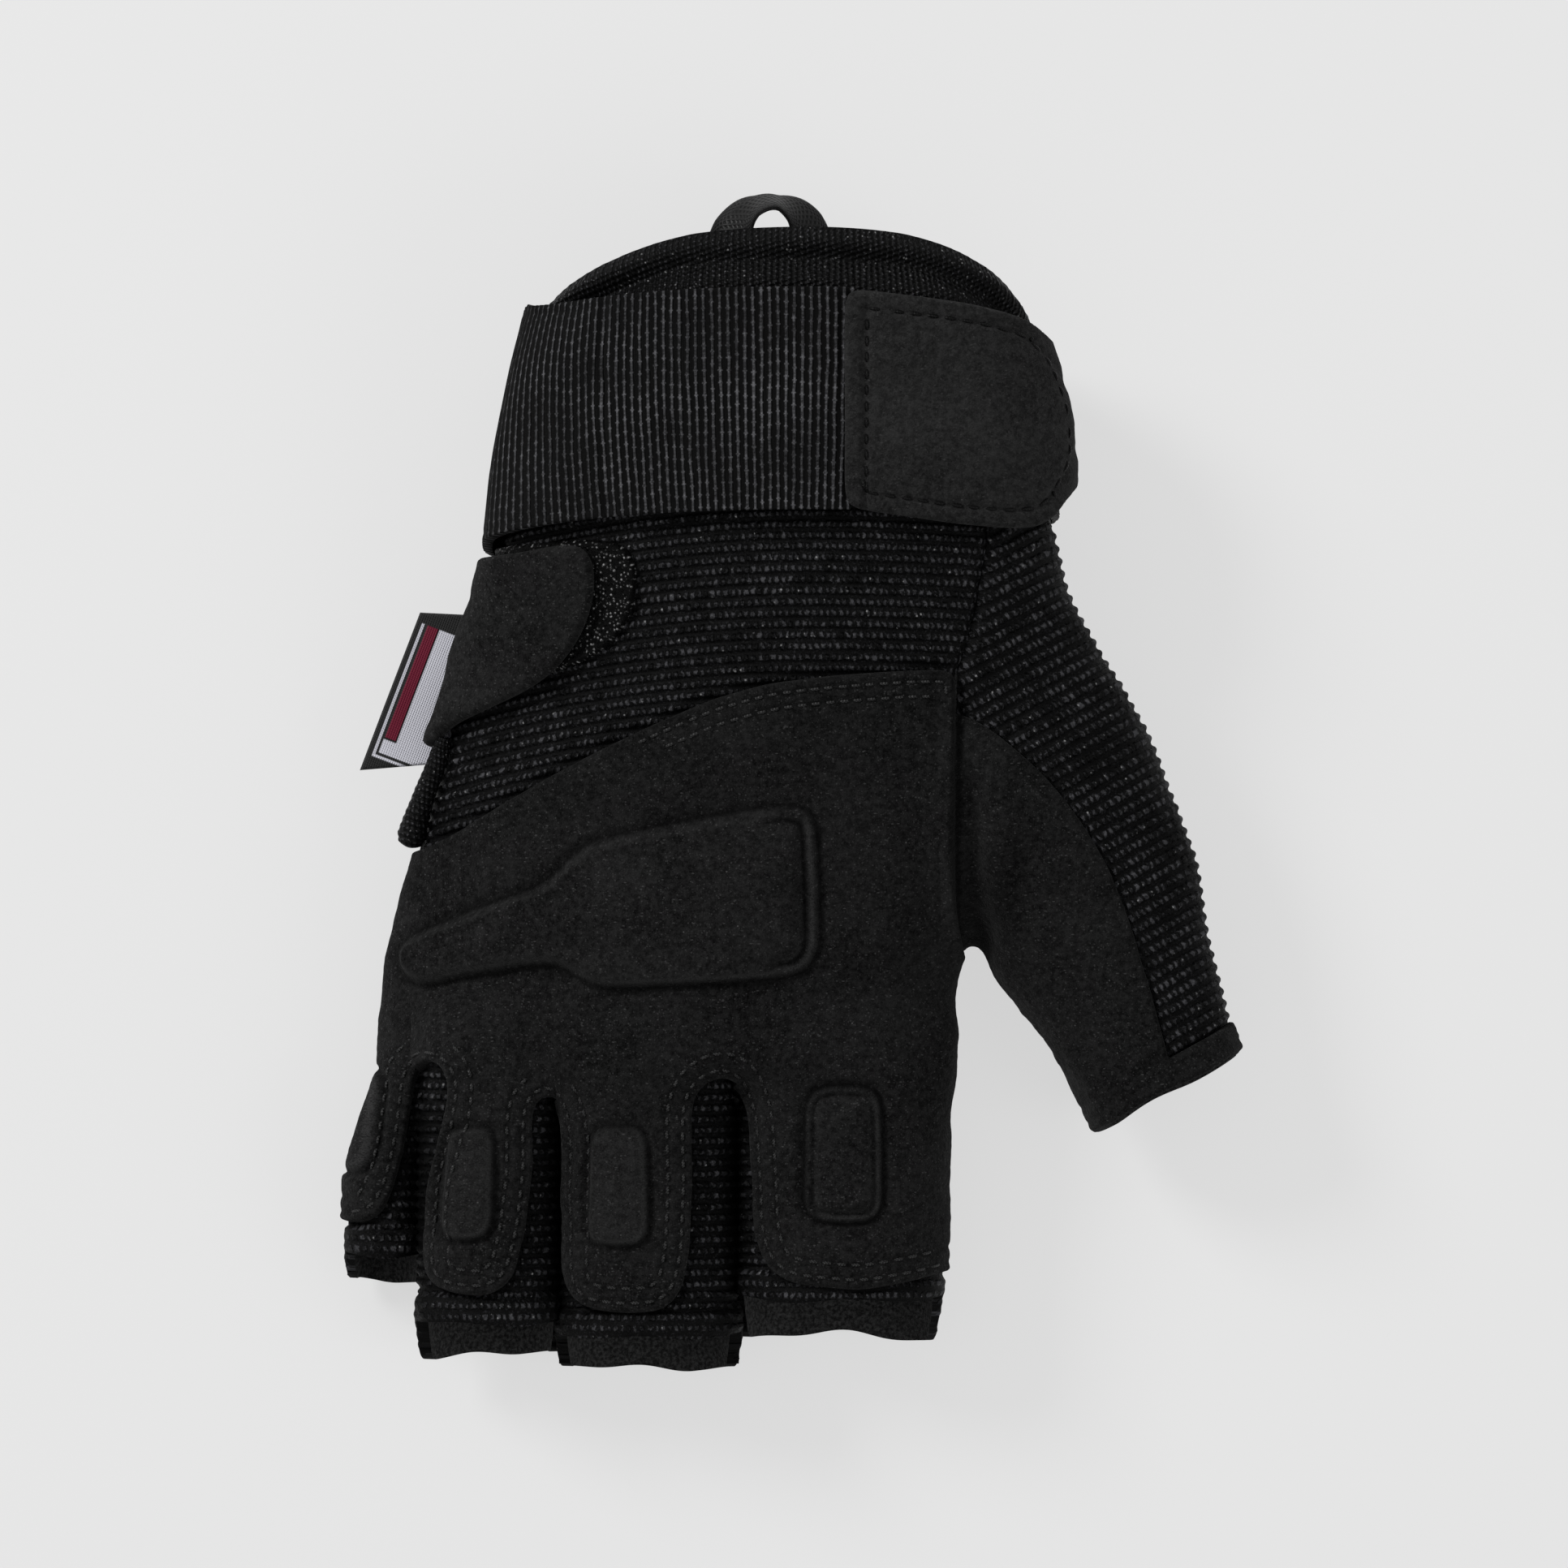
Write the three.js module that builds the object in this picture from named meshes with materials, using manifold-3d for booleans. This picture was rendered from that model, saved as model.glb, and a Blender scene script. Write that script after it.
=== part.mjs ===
// Fingerless right-hand training glove, lying palm down.
// Millimetres. +X is the thumb side, +Y runs from the fingers to the cuff, +Z is the back of the hand.
// The origin is the centre of the palm's underside, on the flat grip patch.
//
// The glove is a cut-and-sewn shell on a hand-shaped form. Each panel is a slice of that form
// between two offsets of its surface, trimmed to the panel's own outline. A gap of 0.3 mm is
// kept between pieces that lie on each other.
import * as THREE from "three";
import { mergeVertices } from "three/addons/utils/BufferGeometryUtils.js";
import Module from "manifold-3d";

const wasm = await Module();
wasm.setup();

// ---------------------------------------------------------------- driving dimensions
const SHELL = 1.6; // knit and suede shell thickness
const SKIN = 1.2; // suede overlay thickness
const GAP = 0.3; // clearance between sewn layers
const WEBBING = 1.8; // elastic webbing thickness
const STRAP_WIDTH = 34; // elastic wrist strap
const PAD_RISE = 2.4; // moulded foam pad height
const SIDE_Z = 9; // height of the seam between palm and back
const CUFF_Y = 41; // where the knit back meets the cuff

// Sections of the hand, from the cuff to the finger roots:
// y, left edge, right edge, underside, back, how far the little-finger side droops.
const HAND = [
  [98, -33.0, 34.0, 5.2, 39.5, 0.1],
  [77, -37.0, 38.0, 5.0, 39.5, 0.1],
  [60, -41.4, 42.4, 4.8, 39.0, 0.12],
  [42, -43.4, 42.2, 4.2, 38.0, 0.15],
  [30, -46.4, 41.0, 2.8, 36.5, 0.2],
  [20, -49.2, 38.0, 1.9, 35.5, 0.24],
  [10, -52.4, 34.5, 1.6, 34.5, 0.28],
  [0, -55.2, 31.5, 1.6, 33.5, 0.32],
  [-10, -57.6, 29.6, 1.6, 32.5, 0.36],
  [-20, -60.4, 28.0, 1.6, 31.5, 0.4],
  [-30, -62.4, 26.6, 1.6, 30.0, 0.44],
  [-47, -63.4, 25.0, 2.0, 28.0, 0.46],
];
const TOP_POWER = 2.5, UNDER_POWER = 4;

// Sections of the thumb: centre x, centre y, half width, underside, back.
const THUMB = [
  [24, 40, 16, 6, 32],
  [30, 22, 19.5, 4.4, 32],
  [40, 4, 19.4, 3.2, 31],
  [49.2, -15.8, 18.2, 2.8, 28.6],
  [56, -30, 14.4, 2.8, 26.2],
  [60.6, -42, 13.1, 3.0, 25.2],
  [65, -51, 12.6, 3.2, 24.6],
];
const THUMB_ACROSS = [0.88, 0.474]; // unit vector across the thumb, to its outer edge
const THUMB_ALONG = [0.474, -0.88]; // unit vector to the thumb's open end
const THUMB_HINGE = [51, -19.5]; // the thumb swings about a vertical axis here
const THUMB_HINGE_R = 19.4;
const THUMB_END = [63.6, 67.6]; // open end along THUMB_ALONG, on the back and on the palm

// Finger stalls: centre x, centre z, half width, half height at the root and at the open end,
// hinge y and z, open end on the back and on the palm.
const FINGERS = {
  index: { x: [10.8, 11.2], z: [15.2, 14.4], a: [15.0, 14.2], b: [12.6, 11.4], hinge: [-49.5, 15.2], end: [-76.4, -83.2] },
  middle: { x: [-21.9, -21.9], z: [15.4, 14.6], a: [12.0, 11.8], b: [12.2, 11.4], hinge: [-52, 15.2], end: [-82.6, -87.9] },
  ring: { x: [-46.9, -47.3], z: [14.8, 14.4], a: [8.7, 8.5], b: [10.4, 10.0], hinge: [-51, 12], end: [-80.4, -86.0] },
  little: { x: [-61.7, -61.9], z: [8.4, 8.2], a: [6.6, 6.4], b: [8.2, 7.8], hinge: [-51, 12], end: [-70.6, -75.2] },
};
const STALL_R = 16.5; // radius of the rounded root that each stall turns on
const STALL_Y = [-30, -92];

// Outlines in plan.
const OVERLAY = [[27.5,22.2],[17.8,21.8],[7.6,21.1],[-1.3,20.0],[-10.2,17.6],[-19.1,13.8],[-28.0,9.6],[-35.7,5.5],[-43.3,1.3],[-50.3,-3.2],[-54.8,-5.4],[-58.6,-7.1],[-66.2,-7.6],[-70.1,-25.5],[-71.3,-44.0],[-58.6,-44.0],[-57.1,-41.4],[-54.1,-39.2],[-51.0,-43.3],[-40.1,-46.4],[-38.0,-45.1],[-35.7,-44.3],[-33.1,-45.9],[-15.3,-46.4],[-13.0,-43.3],[-8.9,-41.0],[-5.7,-43.3],[-2.5,-46.4],[32.5,-46.4],[29.3,-38.2],[29.3,-30.6],[28.0,-22.9],[27.5,0.0]];
const KNUCKLE_PAD = [[-55.0,-27.0],[-58.0,-24.8],[-58.2,-21.7],[-56.1,-19.7],[-47.1,-15.8],[-39.5,-13.1],[-35.3,-11.2],[-31.6,-7.0],[-28.0,-4.8],[-14.0,-1.8],[-0.6,0.5],[3.2,0.4],[5.0,-1.5],[5.4,-11.5],[5.5,-21.0],[3.8,-24.2],[0.6,-25.1],[-12.7,-26.1],[-25.5,-26.9],[-28.7,-26.5],[-33.1,-23.8],[-35.7,-23.1],[-40.8,-23.8],[-48.4,-25.1]];
const STALL_OVERLAY = {
  index: [[-2.0,-30],[-3.6,-53.5],[-3.4,-66.2],[-1.9,-71.3],[1.9,-73.9],[12.7,-74.9],[20.4,-73.6],[30.6,-70.8],[30.6,-30]],
  middle: [[-33.4,-30],[-33.9,-58.6],[-34.1,-73.9],[-31.6,-77.7],[-25.5,-78.5],[-18.5,-78.2],[-15.3,-75.2],[-14.0,-68.8],[-13.6,-57.3],[-13.6,-30]],
  ring: [[-54.9,-30],[-55.0,-51.0],[-55.8,-57.3],[-55.8,-71.3],[-54.1,-75.4],[-45.9,-76.1],[-41.8,-73.3],[-40.0,-66.2],[-38.9,-57.3],[-38.9,-30]],
  little: [[-72.0,-30],[-72.0,-64.0],[-67.5,-65.0],[-62.7,-63.7],[-60.9,-59.9],[-59.0,-54.8],[-58.2,-48.4],[-58.2,-30]],
};
const STALL_PAD = {
  index: [[5.1,-46.4],[6.6,-44.9],[13.4,-44.9],[15.0,-46.4],[15.3,-61.8],[13.8,-63.7],[6.4,-63.7],[4.7,-61.8]],
  middle: [[-29.3,-50.4],[-22.3,-49.9],[-20.9,-51.2],[-20.6,-65.6],[-22.3,-67.5],[-28.7,-67.5],[-30.1,-66.0]],
  ring: [[-51.9,-49.9],[-45.9,-49.4],[-44.8,-50.5],[-45.1,-63.7],[-46.4,-66.8],[-51.9,-67.0],[-53.1,-65.6]],
  little: [[-67.5,-42.0],[-62.6,-41.0],[-61.9,-42.3],[-64.2,-54.8],[-66.2,-57.1],[-72.0,-57.1],[-72.0,-42.0]],
};
const BACK_SEAM = [[32.5,60],[32.5,40.8],[30.6,30.6],[28.0,21.7],[27.8,12.7],[27.8,-22.9],[28.7,-34]];
const THUMB_SEAM = [[27.8,15.3],[31.2,14.0],[35.7,10.8],[42.0,5.1],[47.8,-2.5],[52.2,-10.2],[55.4,-19.1],[58.0,-28.0],[60.8,-38.2],[66,-56]];
const CLOSURE_TAB = [[-51.0,39.5],[-40.8,40.4],[-33.8,41.2],[-30.6,40.6],[-29.2,37.6],[-29.4,32.5],[-31.6,26.8],[-35.7,21.7],[-40.8,18.5],[-47.1,15.9],[-52.9,13.4],[-55.7,10.2],[-62,6.4],[-62,39.5]];
const CLOSURE_HOOK = [[-44,38],[-34,39],[-31.6,37.2],[-31.6,32.9],[-34,27.8],[-37.2,24.2],[-44,20.5]];
const CLOSURE_LOOP = [[-45.9,41.6],[-33.1,42.2],[-28.0,42.4],[-24.2,41.4],[-22.3,38.2],[-22.5,33.1],[-24.5,28.0],[-28.0,24.7],[-33.1,22.4],[-45.9,19.1]];
const STRAP_TAB = [[10.2,81.2],[17.8,80.4],[30.6,78.9],[38.9,77.0],[44.6,72.6],[49.5,65.0],[49.5,56.1],[46.2,49.7],[42.0,44.6],[36.9,44.0],[28.0,44.6],[19.1,45.9],[10.2,47.1]];
const STRAP_HOOK = [[13.5,77.0],[30,75.0],[37.5,73.2],[42.5,69],[44,63],[43.5,56.5],[40,49.5],[36,47.6],[28,48.0],[13.5,50.2]];
const LABEL = [[-45,31.0],[-56.4,31.2],[-65.6,6.8],[-50,6.4]];
const PALM_PATCH = [[-50,-8],[-44,-30],[-34,-36],[10,-36],[20,-28],[22,-10],[20,4],[10,8],[-42,8],[-48,4]];
const HEEL_PATCH = [[-42,11],[14,11],[22,14],[24,24],[20,34],[10,38],[-28,38],[-38,33],[-43,22]];
const STRAP_SLOPE = 0.17; // the strap's ring leans towards the cuff on the back of the wrist
const STRAP_EDGE = 42.3; // lower edge of the strap at the side of the wrist
const STRAP_ROOT_Z = 12.8; // where the strap leaves its sewn anchor
const LOOP_PATH = [[-12.2,71.5],[-12.0,84],[-10.6,89.6],[-7.6,93.4],[-2.6,95.6],[2.6,94.6],[6.2,91.2],[8.3,86.6],[9.0,71.5]];

// ---------------------------------------------------------------- solids
const keep = [];
function solid(geometry) {
  let g = geometry.clone();
  for (const n of Object.keys(g.attributes)) if (n !== "position") g.deleteAttribute(n);
  g = mergeVertices(g, 1e-4);
  const s = new wasm.Manifold(new wasm.Mesh({ numProp: 3, vertProperties: g.attributes.position.array, triVerts: new Uint32Array(g.index.array) }));
  keep.push(s);
  return s;
}
function geometryOf(s) {
  const m = s.getMesh();
  const p = new Float32Array(m.numVert * 3);
  for (let i = 0; i < m.numVert; i++) for (let k = 0; k < 3; k++) p[3 * i + k] = m.vertProperties[m.numProp * i + k];
  const g = new THREE.BufferGeometry();
  g.setAttribute("position", new THREE.BufferAttribute(p, 3));
  g.setIndex(new THREE.BufferAttribute(new Uint32Array(m.triVerts), 1));
  const flat = g.toNonIndexed();
  flat.computeVertexNormals();
  return flat;
}
// A table row at y, read by cubic interpolation between the rows.
function at(table, y) {
  const n = table.length;
  let i = 0;
  while (i < n - 2 && y < table[i + 1][0]) i++;
  const h = table[i + 1][0] - table[i][0], t = (y - table[i][0]) / h;
  const slope = (k, c) => {
    const lo = Math.max(0, k - 1), hi = Math.min(n - 1, k + 1);
    return (table[hi][c] - table[lo][c]) / (table[hi][0] - table[lo][0]);
  };
  return table[i].map((_, c) => {
    const p0 = table[i][c], p1 = table[i + 1][c], m0 = slope(i, c) * h, m1 = slope(i + 1, c) * h;
    return (2 * t ** 3 - 3 * t ** 2 + 1) * p0 + (t ** 3 - 2 * t ** 2 + t) * m0 + (-2 * t ** 3 + 3 * t ** 2) * p1 + (t ** 3 - t ** 2) * m1;
  });
}
const pow = (v, p) => Math.sign(v) * Math.abs(v) ** p;
// A tube whose section at each station is given by place(angle, station, radius 0..1).
function tube(place, around, along) {
  const g = new THREE.CylinderGeometry(1, 1, 1, around, along, false);
  const p = g.attributes.position;
  for (let i = 0; i < p.count; i++) {
    const x = p.getX(i), z = p.getZ(i), r = Math.hypot(x, z) > 0.5 ? 1 : 0;
    const turn = r ? (Math.round((Math.atan2(x, z) * around) / (2 * Math.PI)) + around) % around : 0;
    const v = place((turn * 2 * Math.PI) / around, Math.round((p.getY(i) + 0.5) * along) / along, r);
    p.setXYZ(i, v[0], v[1], v[2]);
  }
  const s = solid(g);
  return s.volume() < 0 ? solid(flip(g)) : s;
}
function flip(g) {
  const ix = g.index.array;
  for (let i = 0; i < ix.length; i += 3) [ix[i + 1], ix[i + 2]] = [ix[i + 2], ix[i + 1]];
  return g;
}
// The hand form, grown outwards by off, and longer by whole stations at both ends so that all
// its layers share their stations.
const HAND_Y = [-47, 98], HAND_STATIONS = 15;
function hand(off, more = 0) {
  const step = (HAND_Y[1] - HAND_Y[0]) / HAND_STATIONS;
  return tube((angle, s, r) => {
    const y = HAND_Y[0] + step * (s * (HAND_STATIONS + 2 * more) - more);
    const [, left, right, under, top, droop] = at(HAND, y);
    const xc = (left + right) / 2, a = (right - left) / 2 + off, zc = (under + top) / 2, b = (top - under) / 2 + off;
    const c = Math.cos(angle), q = Math.sin(angle), n = q > 0 ? TOP_POWER : UNDER_POWER;
    const x = xc + r * a * pow(c, 2 / n);
    let z = zc + r * b * pow(q, 2 / n);
    const g = Math.max(0, (0.25 - (x - xc) / a) / 1.25);
    z = under - off + (z - under + off) * (1 - droop * g * g);
    return [x, y, z];
  }, 36, HAND_STATIONS + 2 * more);
}
const THUMB_STATIONS = 8;
function thumb(off, more = 0) {
  const table = THUMB.map((row) => [row[0] * THUMB_ALONG[0] + row[1] * THUMB_ALONG[1], ...row]).sort((p, q) => q[0] - p[0]);
  const lo = table[table.length - 1][0], step = (table[0][0] - lo) / THUMB_STATIONS;
  return tube((angle, s, r) => {
    const t = lo + step * (s * (THUMB_STATIONS + 2 * more) - more);
    const [, cx, cy, w, under, top] = at(table, Math.min(table[0][0], Math.max(table[table.length - 1][0], t)));
    const slide = t - Math.min(table[0][0], Math.max(table[table.length - 1][0], t));
    const c = pow(Math.cos(angle), 2 / 2.3), q = pow(Math.sin(angle), 2 / 2.3);
    const u = r * (w + off) * c;
    return [cx + slide * THUMB_ALONG[0] + u * THUMB_ACROSS[0], cy + slide * THUMB_ALONG[1] + u * THUMB_ACROSS[1], (under + top) / 2 + r * ((top - under) / 2 + off) * q];
  }, 24, THUMB_STATIONS + 2 * more);
}
function stall(f, off, grow = 0) {
  const [y0, y1] = [STALL_Y[0] + grow, STALL_Y[1] - grow];
  return tube((angle, s, r) => {
    const y = y0 + (y1 - y0) * s, t = (y - STALL_Y[0]) / (STALL_Y[1] - STALL_Y[0]);
    const mix = (v) => v[0] + (v[1] - v[0]) * t;
    return [mix(f.x) + r * (mix(f.a) + off) * pow(Math.cos(angle), 2 / 2.2), y, mix(f.z) + r * (mix(f.b) + off) * pow(Math.sin(angle), 2 / 2.2)];
  }, 20, 3);
}
// An outline in plan, standing from z0 to z1.
function prism(outline, z0 = -10, z1 = 60) {
  const g = new THREE.ExtrudeGeometry(new THREE.Shape(outline.map((p) => new THREE.Vector2(...p))), { depth: z1 - z0, bevelEnabled: false });
  return solid(g.translate(0, 0, z0));
}
// An outline in the (y, z) plane, running from x0 to x1.
function sideways(outline, x0 = -90, x1 = 90) {
  const g = new THREE.ExtrudeGeometry(new THREE.Shape(outline.map((p) => new THREE.Vector2(...p))), { depth: x1 - x0, bevelEnabled: false });
  g.applyMatrix4(new THREE.Matrix4().makeBasis(new THREE.Vector3(0, 1, 0), new THREE.Vector3(0, 0, 1), new THREE.Vector3(1, 0, 0)));
  return solid(g.translate(x0, 0, 0));
}
function block(x0, x1, y0, y1, z0, z1) {
  return solid(new THREE.BoxGeometry(x1 - x0, y1 - y0, z1 - z0).translate((x0 + x1) / 2, (y0 + y1) / 2, (z0 + z1) / 2));
}
// A roller along X, for a stall's rounded root.
function roller(r, y, z, x0, x1) {
  return solid(new THREE.CylinderGeometry(r, r, x1 - x0, 32).rotateZ(Math.PI / 2).translate((x0 + x1) / 2, y, z));
}

// ---------------------------------------------------------------- the form and its layers
const above = block(-90, 90, -110, 110, SIDE_Z + GAP / 2, 60);
const below = block(-90, 90, -110, 110, -10, SIDE_Z - GAP / 2);
const form = {};
const layerForm = (off) => (form[off] ??= hand(off).add(thumb(off)));
const layer = (o1, o0) => layerForm(o1).subtract(hand(o0, 1).add(thumb(o0, 1)));

// Everything that belongs to the stalls, cut out of the hand's own panels.
const spans = { index: [-4.8, 40], middle: [-35.0, -9.1], ring: [-90, -37.9] };
function stallSpace(extra) {
  let s = null;
  for (const [name, [x0, x1]] of Object.entries(spans)) {
    const [y, z] = FINGERS[name].hinge;
    const part = roller(STALL_R + extra, y, z, x0, x1).add(block(x0, x1, -110, y, -40, 80));
    s = s ? s.add(part) : part;
  }
  return s;
}
const noStalls = stallSpace(0.4);
const across = (t, width) => {
  // a big slab beyond distance t along the thumb
  const g = new THREE.BoxGeometry(60, width, 120);
  g.translate(30, 0, 0);
  const m = new THREE.Matrix4().makeBasis(new THREE.Vector3(THUMB_ALONG[0], THUMB_ALONG[1], 0), new THREE.Vector3(THUMB_ACROSS[0], THUMB_ACROSS[1], 0).negate().multiplyScalar(-1), new THREE.Vector3(0, 0, 1));
  if (m.determinant() < 0) m.makeBasis(new THREE.Vector3(THUMB_ALONG[0], THUMB_ALONG[1], 0), new THREE.Vector3(-THUMB_ACROSS[0], -THUMB_ACROSS[1], 0), new THREE.Vector3(0, 0, 1));
  const h = THUMB_HINGE[0] * THUMB_ALONG[0] + THUMB_HINGE[1] * THUMB_ALONG[1];
  m.setPosition(THUMB_HINGE[0] + (t - h) * THUMB_ALONG[0], THUMB_HINGE[1] + (t - h) * THUMB_ALONG[1], 15);
  return solid(g.applyMatrix4(m));
};
const thumbHinge = THUMB_HINGE[0] * THUMB_ALONG[0] + THUMB_HINGE[1] * THUMB_ALONG[1];
const thumbRound = (extra) => solid(new THREE.CylinderGeometry(THUMB_HINGE_R + extra, THUMB_HINGE_R + extra, 80, 36).rotateX(Math.PI / 2).translate(THUMB_HINGE[0], THUMB_HINGE[1], 15));
const thumbSpace = (extra) => thumbRound(extra).add(across(thumbHinge, 46));
const handOnly = (s) => s.subtract(noStalls).subtract(thumbSpace(0.4));

const shell = handOnly(layer(0, -SHELL));
const openHand = block(-90, 90, -110, CUFF_Y - GAP / 2, -10, 60);
const cuffSide = block(-90, 90, CUFF_Y + GAP / 2, 110, -10, 60);
const back = shell.intersect(openHand).intersect(above);
const rightOf = (outline, extra) => prism([...outline.map(([x, y]) => [x + extra, y]), [120, outline[outline.length - 1][1]], [120, outline[0][1]]]);
const leftOf = (outline, extra) => prism([...outline.map(([x, y]) => [x + extra, y]), [-90, outline[outline.length - 1][1] - 40], [-90, outline[0][1]]]);
const suedeSide = (extra) => prism([...THUMB_SEAM.map(([x, y]) => [x + extra, y + extra]), [20, -80], [20, 15.3 + extra]]);

// ---------------------------------------------------------------- the exported group
const glove = new THREE.Group();
const suede = { color: 0x1b1b1b, roughness: 0.95, metalness: 0 };
const knit = { color: 0x111113, roughness: 0.85, metalness: 0 };
const neoprene = { color: 0x0f0f11, roughness: 0.7, metalness: 0 };
const webbing = { color: 0x161617, roughness: 0.8, metalness: 0 };
const pile = { color: 0x0b0b0c, roughness: 0.9, metalness: 0 };
const labelCloth = { color: 0x9a1235, roughness: 0.8, metalness: 0 };
function piece(name, s, look, group = glove) {
  const parts = s.decompose();
  const whole = parts.length > 1 ? parts.sort((a, b) => b.volume() - a.volume())[0] : s;
  const mesh = new THREE.Mesh(geometryOf(whole), new THREE.MeshStandardMaterial(look));
  mesh.name = name;
  group.add(mesh);
  return mesh;
}

// Palm and back of the hand
const palmCut = openHand.intersect(below);
piece("palm_panel", shell.intersect(palmCut), suede);
piece("back_knit_panel", back.subtract(rightOf(BACK_SEAM, -GAP / 2)), knit);
const thumbSide = back.intersect(rightOf(BACK_SEAM, GAP / 2).add(block(28.9, 120, -60, -33.9, -10, 60)));
piece("thumb_base_knit", thumbSide.subtract(suedeSide(GAP / 2)), knit);
piece("thumb_base_suede", thumbSide.intersect(suedeSide(-GAP / 2)), suede);
const overlay = handOnly(layer(GAP + SKIN, GAP)).intersect(prism(OVERLAY)).intersect(above);
piece("back_overlay", overlay, suede);
piece("knuckle_pad", handOnly(layer(2 * GAP + SKIN + PAD_RISE, 2 * GAP + SKIN)).intersect(prism(KNUCKLE_PAD)).intersect(above), suede);

// Patches sewn under the palm, the flat faces that the glove lies on
const clearForm = layerForm(GAP);
piece("palm_grip_patch", prism(PALM_PATCH, 0, 6).subtract(clearForm).intersect(block(-90, 90, -90, 90, 0, 1.6)), suede);
piece("palm_heel_patch", prism(HEEL_PATCH, 0, 6).subtract(clearForm).intersect(block(-90, 90, -90, 90, 0, 2.6)), suede);

// Webs between the finger roots
const inside = hand(-SHELL - GAP);
piece("web_index_middle", inside.intersect(block(-8.9, -5.0, -43.6, -41.6, -10, 60)), knit);
piece("web_middle_ring", inside.intersect(block(-37.7, -35.2, -45.6, -43.6, -10, 60)), knit);

// Cuff, cut on a slope so that it reaches further up the back of the wrist
const rim = (extra) => sideways([[20, -10], [74 + extra, -10], [75 + extra, 4], [77 + extra, 20], [83 + extra, 30], [91.2 + extra, 40], [91.4 + extra, 60], [20, 60]]);
const cuff = layer(0, -2.0).intersect(cuffSide).intersect(rim(-3.2));
piece("cuff_sleeve", cuff, neoprene);
piece("cuff_binding", layer(0.6, -2.5).intersect(rim(0)).subtract(rim(-2.9)), neoprene);

// Wrist strap: a sewn anchor on the palm side, the elastic webbing, and its suede tab with hook
const strapBand = sideways([[STRAP_EDGE - 24 * STRAP_SLOPE, -10], [STRAP_EDGE + STRAP_WIDTH - 24 * STRAP_SLOPE, -10], [STRAP_EDGE + STRAP_WIDTH + 46 * STRAP_SLOPE, 60], [STRAP_EDGE + 46 * STRAP_SLOPE, 60]]);
const strapOff = 1.6;
const strapRing = layer(strapOff + WEBBING, strapOff).intersect(strapBand);
piece("strap_anchor", strapRing.intersect(block(-90, -8, 0, 110, -10, STRAP_ROOT_Z - 0.25)), webbing);
piece("strap_loop_patch", layer(1.3, GAP).intersect(sideways([[43.6, -10], [71, -10], [77, 60], [48, 60]])).intersect(block(12, 90, 0, 110, 12, 60)), pile);
const strap = new THREE.Group();
glove.add(strap);
piece("strap_webbing", strapRing.intersect(block(-90, 9.8, 0, 110, STRAP_ROOT_Z + 0.25, 60)), webbing, strap);
const tabSpan = block(10.2, 90, 0, 110, 21.5, 60);
piece("strap_tab", layer(4.1, 2.9).intersect(prism(STRAP_TAB)).intersect(tabSpan), suede, strap);
piece("strap_tab_hook", layer(2.6, 1.6).intersect(prism(STRAP_HOOK)).intersect(block(12, 90, 0, 110, 24, 60)), pile, strap);

// Small closure over the vent on the little-finger side
piece("closure_loop_patch", layer(1.1, GAP).intersect(prism(CLOSURE_LOOP)).intersect(above), pile);
piece("closure_tab", layer(3.8, 2.6).intersect(prism(CLOSURE_TAB)).intersect(block(-90, 0, -90, 90, 12, 60)), suede);
piece("closure_tab_hook", layer(2.3, 1.4).intersect(prism(CLOSURE_HOOK)).intersect(above), pile);
const roll = new THREE.CatmullRomCurve3([[-56.6, 8.2, 15.6], [-57.6, 3.6, 15.0], [-58.7, -0.6, 14.4], [-59.6, -4.4, 14.0]].map((p) => new THREE.Vector3(...p)));
const rollShape = new THREE.Shape(Array.from({ length: 10 }, (_, i) => new THREE.Vector2(1.4 * Math.cos((i * Math.PI) / 5), 1.4 * Math.sin((i * Math.PI) / 5))));
piece("vent_binding", solid(new THREE.ExtrudeGeometry(rollShape, { steps: 8, extrudePath: roll, bevelEnabled: false })).subtract(layerForm(2)), knit);
piece("side_label", prism(LABEL, 9.7, 10.5).subtract(layerForm(0.4)), labelCloth);

// Pull loop at the cuff's palm side: a folded tape standing on edge
const loopCurve = new THREE.CatmullRomCurve3(LOOP_PATH.map(([x, y]) => new THREE.Vector3(x, y, 12)));
const tape = new THREE.Shape([[-3.8, -0.6], [3.8, -0.6], [3.8, 0.6], [-3.8, 0.6]].map((p) => new THREE.Vector2(...p)));
piece("pull_loop", solid(new THREE.ExtrudeGeometry(tape, { steps: 18, extrudePath: loopCurve, bevelEnabled: false })), webbing);

// Finger stalls
for (const [name, f] of Object.entries(FINGERS)) {
  const finger = new THREE.Group();
  glove.add(finger);
  const [hy, hz] = f.hinge;
  const room = roller(STALL_R, hy, hz, -90, 90).add(block(-90, 90, -110, hy, -40, 80));
  const open = sideways([[-20, -10], [f.end[1] - 1.2, -10], [f.end[1], f.z[1] - f.b[1]], [f.end[0], f.z[1] + f.b[1]], [f.end[0] + 1, 60], [-20, 60]]);
  const cut = (o1, o0) => stall(f, o1).subtract(stall(f, o0, 3)).intersect(room).intersect(open);
  const seam = f.z[0] - f.b[0] * 0.35;
  const wall = cut(0, -SHELL);
  piece(name + "_stall_knit", wall.intersect(block(-90, 90, -110, 110, seam + GAP / 2, 60)), knit, finger);
  piece(name + "_stall_palm", wall.intersect(block(-90, 90, -110, 110, -10, seam - GAP / 2)), suede, finger);
  const upper = block(-90, 90, -110, 110, f.z[0] - 1, 60);
  piece(name + "_stall_overlay", cut(GAP + SKIN, GAP).intersect(prism(STALL_OVERLAY[name])).intersect(upper), suede, finger);
  piece(name + "_knuckle_pad", stall(f, 2 * GAP + SKIN + 1.8).subtract(stall(f, 2 * GAP + SKIN, 3)).intersect(prism(STALL_PAD[name])).intersect(upper), suede, finger);
}

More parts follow.
